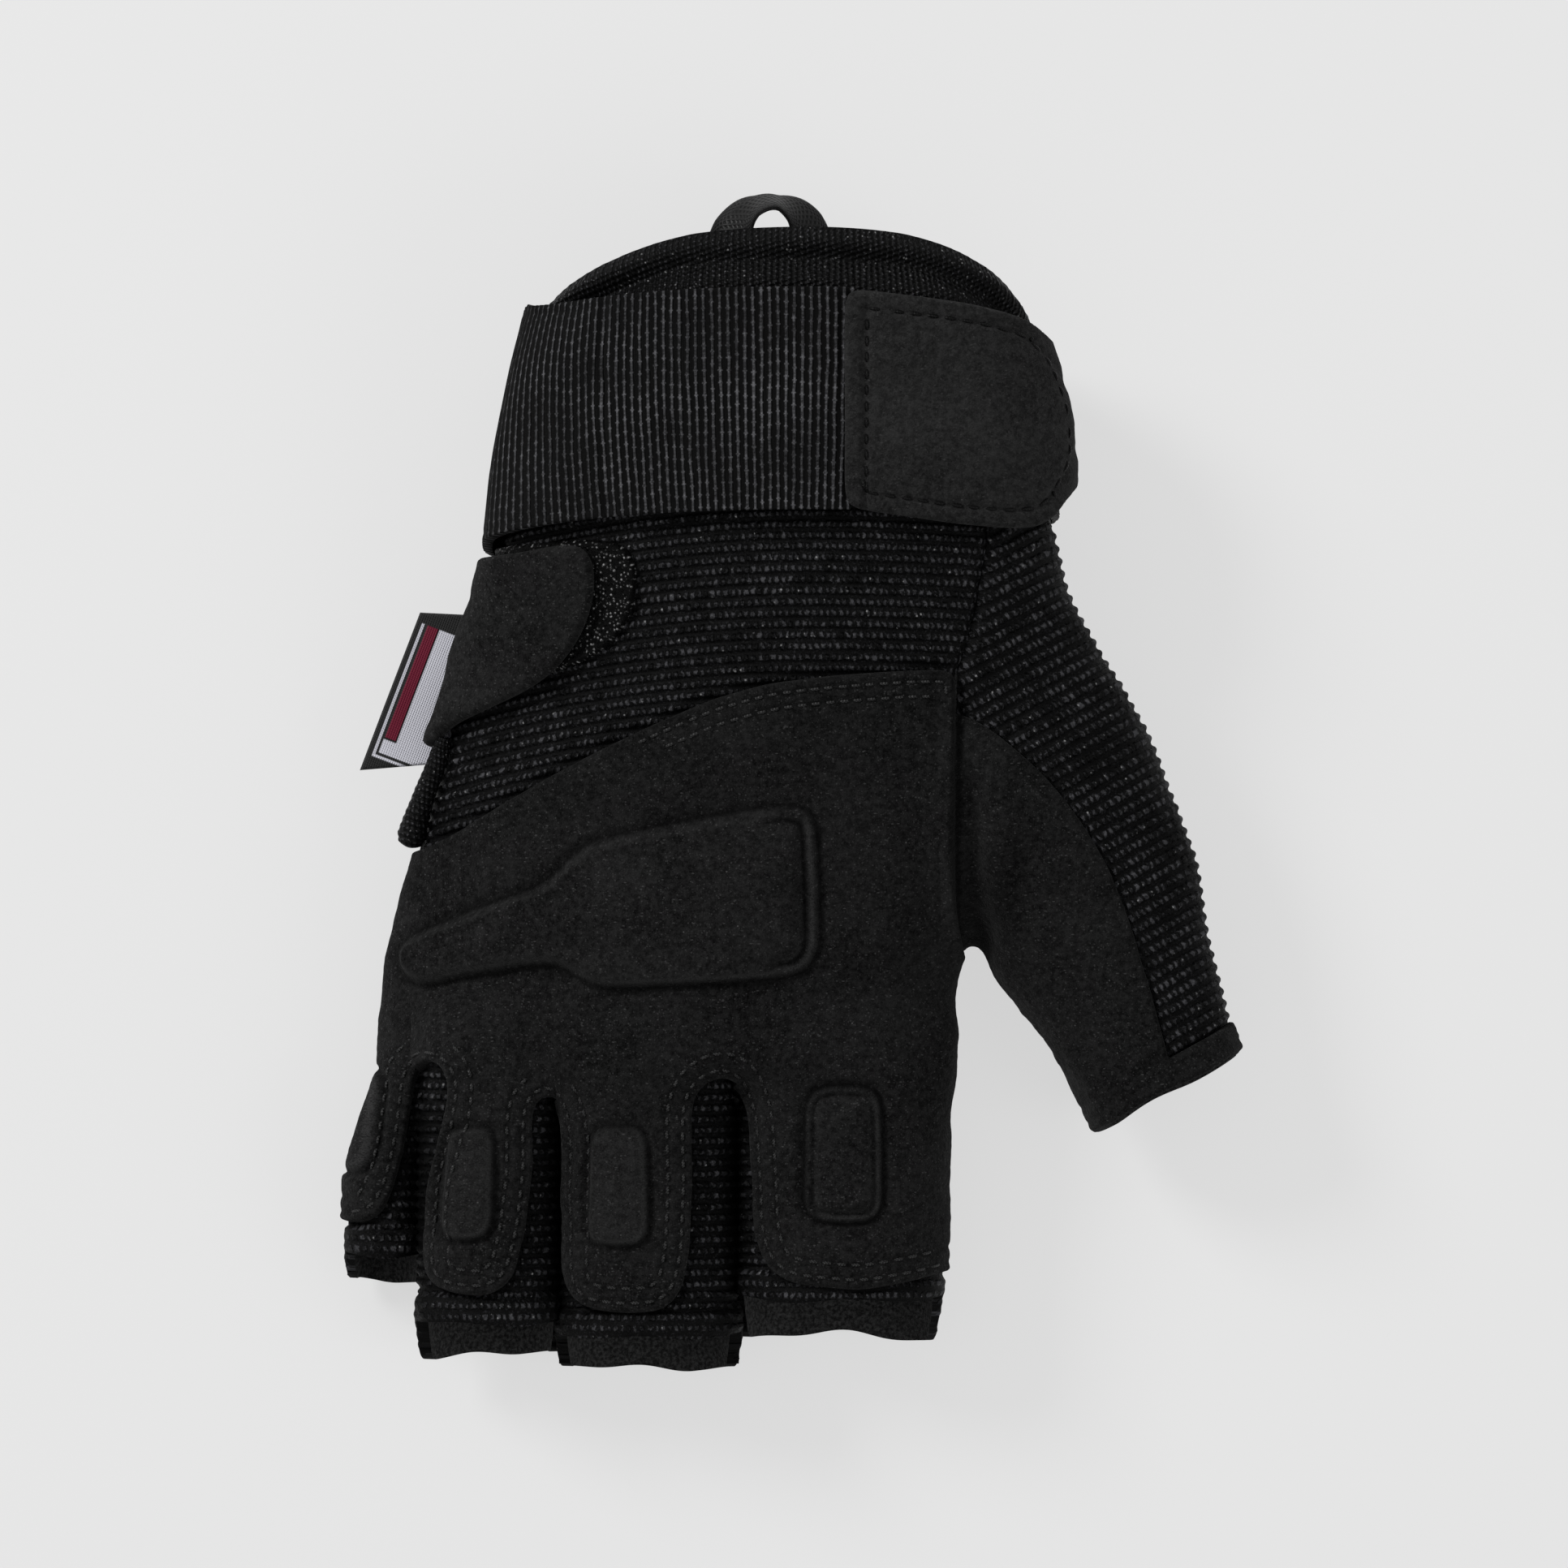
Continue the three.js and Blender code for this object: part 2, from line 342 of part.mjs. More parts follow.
// Thumb stall
const thumbGroup = new THREE.Group();
glove.add(thumbGroup);
const thumbEnd = (() => {
  // side profile of the open end, extruded across the thumb
  const h = thumbHinge;
  const outline = [[-60, -20], [THUMB_END[1] - h + 1, -20], [THUMB_END[1] - h, 3], [THUMB_END[0] - h, 25.4], [THUMB_END[0] - h - 0.6, 60], [-60, 60]];
  const g = new THREE.ExtrudeGeometry(new THREE.Shape(outline.map((p) => new THREE.Vector2(...p))), { depth: 70, bevelEnabled: false });
  g.translate(0, 0, -35);
  g.applyMatrix4(new THREE.Matrix4().makeBasis(new THREE.Vector3(THUMB_ALONG[0], THUMB_ALONG[1], 0), new THREE.Vector3(0, 0, 1), new THREE.Vector3(-THUMB_ACROSS[0], -THUMB_ACROSS[1], 0)));
  return solid(g.translate(THUMB_HINGE[0], THUMB_HINGE[1], 0));
})();
const thumbShell = thumb(0).subtract(thumb(-SHELL, 1)).intersect(thumbRound(0).add(across(thumbHinge, 50))).intersect(thumbEnd);
piece("thumb_stall_knit", thumbShell.intersect(above).subtract(suedeSide(GAP / 2)), knit, thumbGroup);
piece("thumb_stall_suede", thumbShell.intersect(above).intersect(suedeSide(-GAP / 2)), suede, thumbGroup);
piece("thumb_stall_palm", thumbShell.intersect(below), suede, thumbGroup);

export default glove;
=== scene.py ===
# Looks of the fingerless glove, built round the imported CAD frame.
# Lengths in the tables are millimetres in the CAD frame: +X thumb side, +Y cuff, +Z back of the hand.
# The glove is a smooth hand form (an implicit surface). Each fabric panel is cut out of a mesh of that
# form with its own outline, refined, given its own thickness, folds, ribs and stitches, and then split
# at the finger roots.
import math

import bpy
import numpy as np
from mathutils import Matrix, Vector
from mathutils.bvhtree import BVHTree


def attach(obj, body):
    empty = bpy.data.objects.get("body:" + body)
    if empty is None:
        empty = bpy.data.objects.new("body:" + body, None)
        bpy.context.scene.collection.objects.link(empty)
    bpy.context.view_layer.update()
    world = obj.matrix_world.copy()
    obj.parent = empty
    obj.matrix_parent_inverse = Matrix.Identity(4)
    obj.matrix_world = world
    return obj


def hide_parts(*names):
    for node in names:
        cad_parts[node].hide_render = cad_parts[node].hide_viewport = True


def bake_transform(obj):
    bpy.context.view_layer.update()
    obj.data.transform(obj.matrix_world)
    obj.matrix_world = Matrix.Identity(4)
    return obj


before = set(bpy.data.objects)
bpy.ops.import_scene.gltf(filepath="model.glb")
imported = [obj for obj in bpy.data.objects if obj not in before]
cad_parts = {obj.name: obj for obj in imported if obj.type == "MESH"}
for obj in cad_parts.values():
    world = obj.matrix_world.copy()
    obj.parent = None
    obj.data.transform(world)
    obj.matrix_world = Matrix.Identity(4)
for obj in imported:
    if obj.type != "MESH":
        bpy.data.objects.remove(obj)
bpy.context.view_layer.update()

MM = 0.001

# ------------------------------------------------------------------ the hand form
HAND = np.array([  # y, left, right, underside, back, droop on the little-finger side
    [-60, -60.0, 25.0, 2.0, 27.4, 0.46],
    [-47, -60.6, 25.2, 2.0, 28.0, 0.46],
    [-30, -61.4, 26.8, 1.7, 30.0, 0.44],
    [-20, -59.8, 28.0, 1.6, 31.5, 0.40],
    [-10, -57.6, 29.6, 1.6, 32.5, 0.36],
    [0, -55.2, 31.5, 1.6, 33.5, 0.32],
    [10, -52.4, 34.5, 1.6, 34.5, 0.28],
    [20, -49.2, 38.0, 1.9, 35.5, 0.24],
    [30, -46.2, 41.0, 2.8, 36.5, 0.20],
    [42, -43.2, 42.2, 4.2, 38.0, 0.15],
    [60, -41.2, 42.4, 4.8, 39.0, 0.12],
    [77, -37.0, 38.0, 5.0, 39.5, 0.10],
    [98, -33.0, 34.0, 5.2, 39.5, 0.10]])
THUMB_ROWS = [[24, 40, 16, 6, 32], [30, 22, 19.5, 4.4, 32], [40, 4, 19.4, 3.2, 31], [49.2, -15.8, 18.2, 2.8, 28.6],
              [56, -30, 14.4, 2.8, 26.2], [60.6, -42, 13.1, 3.0, 25.2], [65, -51, 12.8, 3.2, 24.8], [69.6, -60, 12.6, 3.2, 24.6]]
TC = np.array([0.88, 0.474])    # across the thumb, to its outer edge
TA = np.array([0.474, -0.88])   # along the thumb, to its open end
THUMB = np.array(sorted([r[0] * TA[0] + r[1] * TA[1], r[0] * TC[0] + r[1] * TC[1], r[2], r[3], r[4]] for r in THUMB_ROWS))
# cx, cz, half width, half height at the root and at the end; open end on the back and on the palm; seam height
FINGER = {
    "index": dict(x=(9.5, 9.3), z=(15.2, 14.4), a=(16.5, 16.2), b=(12.6, 11.4), end=(-76.6, -83.0), seam=10.6),
    "middle": dict(x=(-20.6, -20.6), z=(15.4, 14.6), a=(14.15, 14.15), b=(12.2, 11.4), end=(-82.4, -87.8), seam=11.0),
    "ring": dict(x=(-45.5, -45.4), z=(14.8, 14.2), a=(11.1, 11.2), b=(10.6, 10.2), end=(-80.4, -85.8), seam=10.8),
    "little": dict(x=(-62.6, -63.0), z=(8.6, 8.2), a=(6.4, 6.3), b=(8.3, 7.9), end=(-70.0, -74.6), seam=5.8)}
SIDE_Z = 9.0
FAN = {"index": -2.3, "middle": 0.0, "ring": 2.3, "little": 6.2}   # how far each finger is moved back from modelling space
LITTLE_X = [[-92, -75, -58, -48, -40, -30], [-62.2, -62.2, -61.7, -58.6, -55.4, -53.0]]


def hermite(table, q):
    k = table[:, 0]
    n = len(k)
    i = np.clip(np.searchsorted(k, q) - 1, 0, n - 2)
    h = k[i + 1] - k[i]
    t = (q - k[i]) / h
    lo, hi = np.maximum(0, np.arange(n) - 1), np.minimum(n - 1, np.arange(n) + 1)
    slope = (table[hi] - table[lo]) / (k[hi] - k[lo])[:, None]
    t = t[:, None]; hh = h[:, None]
    return ((2 * t ** 3 - 3 * t ** 2 + 1) * table[i] + (t ** 3 - 2 * t ** 2 + t) * slope[i] * hh
            + (-2 * t ** 3 + 3 * t ** 2) * table[i + 1] + (t ** 3 - t ** 2) * slope[i + 1] * hh)[:, 1:]


HAND_LUT_Y = np.linspace(-110, 110, 881)
HAND_LUT = hermite(HAND, np.clip(HAND_LUT_Y, -60, 98))
THUMB_LUT_T = np.linspace(-60, 110, 681)
THUMB_LUT = hermite(THUMB, np.clip(THUMB_LUT_T, THUMB[0, 0], THUMB[-1, 0]))


def lut(xs, table, q):
    return [np.interp(q, xs, table[:, c]) for c in range(table.shape[1])]


def smoothstep(a, b, x):
    t = np.clip((x - a) / (b - a), 0, 1)
    return t * t * (3 - 2 * t)


def smin(a, b, k):
    h = np.maximum(k - np.abs(a - b), 0) / k
    return np.minimum(a, b) - h * h * k / 4


def smax(a, b, k):
    return -smin(-a, -b, k)


def oval(u, w, a, b, n):
    """Roughly the distance to a superellipse."""
    A, B = np.abs(u) / a, np.abs(w) / b
    S = A ** n + B ** n + 1e-9
    r = S ** (1 / n)
    g = S ** (1 / n - 1) * np.sqrt((A ** (n - 1) / a) ** 2 + (B ** (n - 1) / b) ** 2)
    return np.clip((r - 1) / np.maximum(g, 1e-2), -14, 60)


def fan(y):
    return smoothstep(-41.0, -52.0, y)


def fan_of(P):
    """How far each point moves along X, and how fast that changes along Y."""
    x, s = P[:, 0], fan(P[:, 1])
    off = np.where(x < -55.7 - 4.1 * s, FAN["little"], np.where(x < -34.5 - 1.1 * s, FAN["ring"], np.where(x < -6.7 + 1.1 * s, 0.0, FAN["index"])))
    off = np.where(x > 31, 0.0, off)
    ds = (fan(P[:, 1] + 0.1) - fan(P[:, 1] - 0.1)) / 0.2
    return off * s, off * ds


def real(P):
    """From modelling space, where the fingers stand apart, to real space."""
    R = P.copy()
    R[:, 0] += np.where(P[:, 1] < -41, fan_of(P)[0], 0)
    return R


def hand_field(x, y, z):
    left, right, under, top, droop = lut(HAND_LUT_Y, HAND_LUT, y)
    xc, a, zc, b = (left + right) / 2, (right - left) / 2, (under + top) / 2, (top - under) / 2
    u = x - xc
    g = np.maximum(0, (0.25 - u / a) / 1.25)
    k = 1 - droop * np.minimum(g, 1.3) ** 2
    w = under + (z - under) / k - zc
    n = np.where(w > 0, 2.5, 3.6)
    return oval(u, w, a, b, n) * (0.5 + 0.5 * k)


WEB_X = [-80, -62, -56, -50, -44, -37, -33, -22, -14, -9, -4, 10, 60]
WEB_Y = [-41, -40.5, -39.6, -40.8, -43.5, -44.4, -44.2, -42.5, -41.3, -41.0, -41.6, -43, -43]


def form(P):
    """The glove's form in modelling space: negative inside, roughly a distance in mm."""
    x, y, z = P[:, 0], P[:, 1], P[:, 2]
    hand = hand_field(x, y, z)
    hand = smax(hand, np.interp(x, WEB_X, WEB_Y) - y, 5.0)
    t = x * TA[0] + y * TA[1]
    c, w, lo, hi = lut(THUMB_LUT_T, THUMB_LUT, t)
    th = oval(x * TC[0] + y * TC[1] - c, z - (lo + hi) / 2, w, (hi - lo) / 2, 2.3)
    th = smax(th, THUMB[0, 0] + 4 - t, 6.0)
    f = smin(hand, th, 6.5)
    fingers = None
    m = y < -22
    if m.any():
        ym = y[m]
        q = (-30 - ym) / 62.0
        for name, g in FINGER.items():
            mix = lambda v: v[0] + (v[1] - v[0]) * q
            xm = x[m] + fan(ym) * FAN[name]
            cx = np.interp(ym, *LITTLE_X) if name == "little" else mix(g["x"])
            d = oval(xm - cx, z[m] - mix(g["z"]), mix(g["a"]), mix(g["b"]), 2.2)
            d = smax(d, ym + 31, 7.0)
            fingers = d if fingers is None else np.minimum(fingers, d)
        f[m] = smin(f[m], fingers, 4.5)
    return f


def gradient(F, P, e=0.08):
    g = np.empty_like(P)
    for k in range(3):
        d = np.zeros(3); d[k] = e
        g[:, k] = (F(P + d) - F(P - d)) / (2 * e)
    return g


def project(P, level, times=2):
    P = P.copy()
    for _ in range(times):
        f = form(P) - level
        g = gradient(form, P)
        P -= (f / np.maximum((g * g).sum(1), 0.05))[:, None] * g
    return P


def normals_of(P):
    g = gradient(form, P)
    # modelling space to real space: x grows by the finger's share of fan(y)
    g[:, 1] -= np.where(P[:, 1] < -41, fan_of(P)[1] * g[:, 0], 0)
    return g / np.maximum(np.linalg.norm(g, axis=1), 1e-6)[:, None]


# ------------------------------------------------------------------ meshing the form
H = 1.3
LO = np.array([-81.0, -93.0, -5.0])
N3 = (np.array([76.0, 99.0, 46.0]) - LO) / H
N3 = N3.astype(int) + 1
_grid = {}


def grid():
    if "G" not in _grid:
        ax = [LO[k] + H * np.arange(N3[k]) for k in range(3)]
        X, Y, Z = np.meshgrid(*ax, indexing="ij")
        P = np.stack([X.ravel(), Y.ravel(), Z.ravel()], 1)
        _grid["G"] = form(P).reshape(tuple(N3))
    return _grid["G"]


def surface_nets(level):
    G = grid() - level
    S = G < 0
    dims = np.array(G.shape)
    cd = dims - 1
    cid = lambda c: (c[:, 0] * cd[1] + c[:, 1]) * cd[2] + c[:, 2]
    n = int(cd.prod())
    acc, cnt, quads = np.zeros((n, 3)), np.zeros(n), []
    for a in range(3):
        s0, s1 = [slice(None)] * 3, [slice(None)] * 3
        s0[a], s1[a] = slice(0, -1), slice(1, None)
        g0, g1, b0 = G[tuple(s0)], G[tuple(s1)], S[tuple(s0)]
        m = np.argwhere(b0 != S[tuple(s1)])
        o = [k for k in range(3) if k != a]
        m = m[(m[:, o[0]] > 0) & (m[:, o[0]] < dims[o[0]] - 1) & (m[:, o[1]] > 0) & (m[:, o[1]] < dims[o[1]] - 1)]
        v0, v1 = g0[tuple(m.T)], g1[tuple(m.T)]
        pos = m.astype(float)
        pos[:, a] += v0 / (v0 - v1)
        ids = []
        for d0, d1 in ((-1, -1), (0, -1), (0, 0), (-1, 0)):
            c = m.copy()
            c[:, o[0]] += d0
            c[:, o[1]] += d1
            i = cid(c)
            ids.append(i)
            cnt += np.bincount(i, minlength=n)
            for k in range(3):
                acc[:, k] += np.bincount(i, pos[:, k], minlength=n)
        quads.append(np.stack(ids, 1))
    Q = np.concatenate(quads)
    used = np.unique(Q)
    back = np.full(n, -1)
    back[used] = np.arange(len(used))
    V = LO + H * acc[used] / cnt[used][:, None]
    Q = back[Q]
    return V, orient(V, Q)


def face_normals(V, Q):
    return np.cross(V[Q[:, 2]] - V[Q[:, 0]], V[Q[:, 3]] - V[Q[:, 1]])


def orient(V, Q):
    c = V[Q].mean(1)
    flip = (face_normals(V, Q) * gradient(form, c)).sum(1) < 0
    Q = Q.copy()
    Q[flip] = Q[flip][:, ::-1]
    return Q


def edges_of(Q):
    a, b = Q.ravel(), np.roll(Q, -1, axis=1).ravel()
    return a, b


def relax(V, Q, level, fixed=None, times=4, amount=0.5, snap=True):
    a, b = edges_of(Q)
    n = len(V)
    deg = np.bincount(a, minlength=n) + np.bincount(b, minlength=n)
    for it in range(times):
        s = np.stack([np.bincount(a, V[b, k], minlength=n) + np.bincount(b, V[a, k], minlength=n) for k in range(3)], 1)
        T = s / np.maximum(deg, 1)[:, None]
        W = V + (T - V) * amount
        if fixed is not None:
            W[fixed] = V[fixed]
        V = W
        if snap and (it % 2 == 1 or it == times - 1):
            V = project(V, level, 1)
    return V


_base = {}


def base(level):
    if level not in _base:
        V, Q = surface_nets(level)
        V = project(V, level, 2)
        V = relax(V, Q, level, times=6)
        V = project(V, level, 2)
        _base[level] = (V, Q)
    return _base[level]


# ------------------------------------------------------------------ outlines
def rounded(points, r=1.2, times=3, closed=True):
    p = np.array(points, float)
    for _ in range(times):
        q = []
        n = len(p)
        for i in range(n):
            a, c, b = p[i - 1], p[i], p[(i + 1) % n]
            if not closed and i in (0, n - 1):
                q.append(c)
                continue
            for o in (a, b):
                d = o - c
                L = np.linalg.norm(d)
                q.append(c + d * min(0.25, r / max(L, 1e-9)))
        p = np.array(q)
    return p


class Outline:
    """Signed distance to a closed outline in plan, positive inside, read from a table."""

    def __init__(self, points, r=1.2, pad=6.0, step=0.3, times=3):
        self.poly = p = rounded(points, r, times)
        self.lo = p.min(0) - pad
        n = np.ceil((p.max(0) + pad - self.lo) / step).astype(int) + 1
        self.step, self.n = step, n
        X, Y = np.meshgrid(self.lo[0] + step * np.arange(n[0]), self.lo[1] + step * np.arange(n[1]), indexing="ij")
        q = np.stack([X.ravel(), Y.ravel()], 1)
        a, b = p, np.roll(p, -1, axis=0)
        best = np.full(len(q), 1e9)
        inside = np.zeros(len(q), bool)
        for s, e in zip(a, b):
            d = e - s
            t = np.clip(((q - s) @ d) / max(d @ d, 1e-12), 0, 1)
            r2 = ((q - s - t[:, None] * d) ** 2).sum(1)
            best = np.minimum(best, r2)
            cross = ((s[1] > q[:, 1]) != (e[1] > q[:, 1]))
            if cross.any() and abs(e[1] - s[1]) > 1e-12:
                inside ^= cross & (q[:, 0] < (e[0] - s[0]) * (q[:, 1] - s[1]) / (e[1] - s[1]) + s[0])
        self.T = (np.sqrt(best) * np.where(inside, 1, -1)).reshape(n[0], n[1])

    def __call__(self, R):
        u = (R[:, :2] - self.lo) / self.step
        out = np.maximum(np.maximum(-u, u - (self.n - 1)), 0)
        far = np.hypot(out[:, 0], out[:, 1]) * self.step
        u = np.clip(u, 0, self.n - 1.001)
        i = u.astype(int)
        f = u - i
        T = self.T
        a, b = T[i[:, 0], i[:, 1]], T[i[:, 0] + 1, i[:, 1]]
        c, d = T[i[:, 0], i[:, 1] + 1], T[i[:, 0] + 1, i[:, 1] + 1]
        v = (a * (1 - f[:, 0]) + b * f[:, 0]) * (1 - f[:, 1]) + (c * (1 - f[:, 0]) + d * f[:, 0]) * f[:, 1]
        return v - far

    def inset(self, dist, spacing=0.5):
        """The line inside the outline at this distance, as runs of points."""
        p = self.poly
        seg = np.roll(p, -1, axis=0) - p
        L = np.linalg.norm(seg, axis=1)
        s = np.concatenate([[0], np.cumsum(L)])
        t = np.arange(0, s[-1], spacing)
        i = np.clip(np.searchsorted(s, t, side="right") - 1, 0, len(p) - 1)
        q = p[i] + seg[i] * ((t - s[i]) / np.maximum(L[i], 1e-9))[:, None]
        # walk down the table's gradient to the wanted distance
        e = 0.35
        for _ in range(6):
            f = self(q)
            gx = (self(q + [e, 0]) - self(q - [e, 0])) / (2 * e)
            gy = (self(q + [0, e]) - self(q - [0, e])) / (2 * e)
            g = np.stack([gx, gy], 1)
            q = q + g * ((dist - f) / np.maximum((g ** 2).sum(1), 0.2))[:, None] * 0.8
        return q[np.abs(self(q) - dist) < 0.25]


# ------------------------------------------------------------------ cutting
def tangent_gradient(f, P, N, e=0.3):
    h = np.where(np.abs(N[:, 2:3]) < 0.9, np.array([[0.0, 0, 1]]), np.array([[1.0, 0, 0]]))
    a = np.cross(N, h)
    a /= np.linalg.norm(a, axis=1)[:, None]
    b = np.cross(N, a)
    ga = (f(P + e * a) - f(P - e * a)) / (2 * e)
    gb = (f(P + e * b) - f(P - e * b)) / (2 * e)
    return a * ga[:, None] + b * gb[:, None]


def snap_to(f, P, level, times=2, reach=None):
    for _ in range(times):
        N = gradient(form, P)
        N /= np.maximum(np.linalg.norm(N, axis=1), 1e-6)[:, None]
        v = f(P)
        g = tangent_gradient(f, P, N)
        m = (g * g).sum(1)
        step = np.clip(v / np.sqrt(np.maximum(m, 0.02)), -1.0, 1.0)
        P = P - step[:, None] * g / np.sqrt(np.maximum(m, 0.02))[:, None]
        P = project(P, level, 1)
    return P


def cut(V, quads, polys, f, level, snap=0.34):
    """Keeps the part of a mesh where f is positive. quads is an array, polys a list of other faces."""
    v = f(V)
    keep = np.zeros(len(V), bool)
    near = np.abs(v) < 3 * H
    if not near.any():
        q = quads[(v[quads] > 0).all(1)]
        return V, q, [p for p in polys if min(v[i] for i in p) > 0]
    N = gradient(form, V[near])
    N /= np.maximum(np.linalg.norm(N, axis=1), 1e-6)[:, None]
    gm = np.linalg.norm(tangent_gradient(f, V[near], N), axis=1)
    d = np.full(len(V), 1e3)
    d[near] = np.abs(v[near]) / np.maximum(gm, 0.15)
    move = d < snap * H
    V = V.copy()
    if move.any():
        V[move] = snap_to(f, V[move], level, 2)
        v = v.copy()
        v[move] = 0.0
    sgn = np.sign(v)
    fq = sgn[quads]
    full = (fq >= 0).all(1) & (fq > 0).any(1)
    mixed = (fq > 0).any(1) & (fq < 0).any(1)
    out_polys, new_pts, edge_pt = [], [], {}
    n0 = len(V)

    def crossing(i, j):
        key = (i, j) if i < j else (j, i)
        if key not in edge_pt:
            t = v[i] / (v[i] - v[j])
            new_pts.append(V[i] + (V[j] - V[i]) * t)
            edge_pt[key] = n0 + len(new_pts) - 1
        return edge_pt[key]

    def clip(face):
        out = []
        n = len(face)
        for k in range(n):
            i, j = face[k], face[(k + 1) % n]
            if sgn[i] >= 0:
                out.append(i)
            if sgn[i] * sgn[j] < 0:
                out.append(crossing(i, j))
        return out

    for face in quads[mixed].tolist():
        c = clip(face)
        if len(c) > 2:
            out_polys.append(c)
    for face in polys:
        s = [sgn[i] for i in face]
        if max(s) <= 0:
            continue
        c = clip(face) if min(s) < 0 else list(face)
        if len(c) > 2:
            out_polys.append(c)
    if new_pts:
        extra = snap_to(f, np.array(new_pts), level, 2)
        V = np.concatenate([V, extra])
    return V, quads[full], out_polys


def refine(V, quads, polys):
    """One linear subdivision: every n-sided face becomes n quads."""
    loops = np.concatenate([quads.ravel()] + [np.array(p) for p in polys]) if polys else quads.ravel()
    totals = np.concatenate([np.full(len(quads), 4), np.array([len(p) for p in polys], int)]) if polys else np.full(len(quads), 4)
    starts = np.concatenate([[0], np.cumsum(totals)[:-1]])
    face = np.repeat(np.arange(len(totals)), totals)
    nxt = np.arange(len(loops)) + 1
    ends = starts + totals - 1
    nxt[ends] = starts
    prv = np.arange(len(loops)) - 1
    prv[starts] = ends
    a, b = loops, loops[nxt]
    key = np.minimum(a, b).astype(np.int64) * (len(V) + 1) + np.maximum(a, b)
    uniq, inv = np.unique(key, return_inverse=True)
    ia, ib = uniq // (len(V) + 1), uniq % (len(V) + 1)
    mid = (V[ia] + V[ib]) / 2
    cen = np.stack([np.bincount(face, V[loops, k]) for k in range(3)], 1) / totals[:, None]
    e0 = len(V)
    c0 = e0 + len(mid)
    Q = np.stack([loops, e0 + inv, c0 + face, e0 + inv[prv]], 1)
    return np.concatenate([V, mid, cen]), Q


def compact(V, Q):
    used = np.unique(Q)
    back = np.full(len(V), -1)
    back[used] = np.arange(len(used))
    return V[used], back[Q]


def boundary(Q):
    a, b = edges_of(Q)
    n = int(Q.max()) + 1
    k1 = a.astype(np.int64) * n + b
    k2 = b.astype(np.int64) * n + a
    m = ~np.isin(k1, k2)
    return a[m], b[m], np.nonzero(m)[0] // 4


# ------------------------------------------------------------------ panels
OVERLAY = Outline([
    [27.5, 22.2], [17.8, 21.8], [7.6, 21.1], [-1.3, 20.0], [-10.2, 17.6], [-19.1, 13.8], [-28.0, 9.6], [-35.7, 5.5],
    [-43.3, 1.3], [-50.3, -3.2], [-54.8, -5.4], [-58.6, -7.1], [-66.2, -7.6], [-78, -8], [-80, -25], [-80, -63.6],
    [-72.0, -63.7], [-67.5, -65.0], [-62.7, -63.7], [-60.9, -59.9], [-59.4, -54.8], [-58.2, -48.4], [-57.3, -42.4], [-56, -39.9],
    [-54.1, -39.0], [-52.4, -40.2], [-51.7, -43.3], [-52.6, -49.5], [-54.6, -57.3], [-55.4, -71.3], [-53.6, -75.0],
    [-45.9, -76.1], [-41.6, -73.3], [-40.0, -66.2], [-38.9, -57.3], [-38.9, -48], [-38.2, -45.3], [-36.2, -44.2], [-34.6, -45.3],
    [-33.4, -49], [-33.5, -58.6], [-33.5, -73.9], [-31.3, -77.5], [-25.5, -78.5], [-18.5, -78.2], [-15.3, -75.2],
    [-14.0, -68.8], [-13.6, -57.3], [-13.9, -46.5], [-12.4, -42.6], [-8.9, -40.8], [-6.0, -42.6], [-4.6, -46.5],
    [-4.1, -53.5], [-3.6, -66.2], [-1.9, -71.3], [1.9, -73.9], [12.7, -74.9], [20.4, -73.6], [36, -70.0], [38, -40],
    [36, -27], [30.5, -24.6], [28.2, -22.4], [27.6, -15], [27.5, 0.0]], r=1.4)
PAD = Outline([[-55.0, -27.0], [-58.0, -24.8], [-58.2, -21.7], [-56.1, -19.7], [-47.1, -15.8], [-39.5, -13.1], [-35.3, -11.2],
               [-31.6, -7.0], [-28.0, -4.8], [-14.0, -1.8], [-0.6, 0.5], [3.2, 0.4], [5.0, -1.5], [5.4, -11.5], [5.5, -21.0],
               [3.8, -24.2], [0.6, -25.1], [-12.7, -26.1], [-25.5, -26.9], [-28.7, -26.5], [-33.1, -23.8], [-35.7, -23.1],
               [-40.8, -23.8], [-48.4, -25.1]], r=1.0)
FPADS = [Outline(p, r=1.2) for p in (
    [[4.8, -45.0], [6.6, -43.1], [13.4, -43.1], [15.2, -45.0], [15.4, -61.6], [13.8, -63.7], [6.4, -63.7], [4.6, -61.8]],
    [[-28.5, -51.2], [-27.4, -49.7], [-22.4, -49.5], [-21.1, -51.0], [-20.8, -65.6], [-22.4, -67.4], [-27.7, -67.4], [-29.0, -66.0]],
    [[-51.1, -51.4], [-50.0, -49.9], [-46.2, -49.6], [-45.1, -50.8], [-45.3, -64.2], [-46.6, -66.4], [-50.7, -66.8], [-52.0, -65.4]],
    [[-75, -43.6], [-67, -42.0], [-63.4, -41.0], [-61.9, -42.6], [-63.7, -54.2], [-65.2, -56.4], [-67.2, -56.4], [-75, -50.5]])]
THUMB_SUEDE = Outline([[22, 15.6], [27.8, 15.3], [31.2, 14.0], [35.7, 10.8], [42.0, 5.1], [47.8, -2.5], [52.2, -10.2], [55.4, -19.1],
                       [58.0, -28.0], [60.8, -38.2], [66, -57], [66, -75], [15, -75]], r=2.0)
SEAM = np.array([[-120, 30.0], [-34, 30.0], [-26, 29.6], [-22.9, 27.9], [0, 27.6], [12.7, 27.8], [21.7, 28.0], [30.6, 30.6], [40.8, 32.5], [60, 32.5]])
RIM = np.array([[-10, 74.0], [4, 75.0], [14, 76.0], [20, 77.2], [26, 79.6], [30, 82.6], [34, 86.0], [38, 89.8], [40, 91.2], [60, 91.6]])


def strap_low(z):
    """The strap's lower edge."""
    return 40.3 + 0.28 * (z - 14)


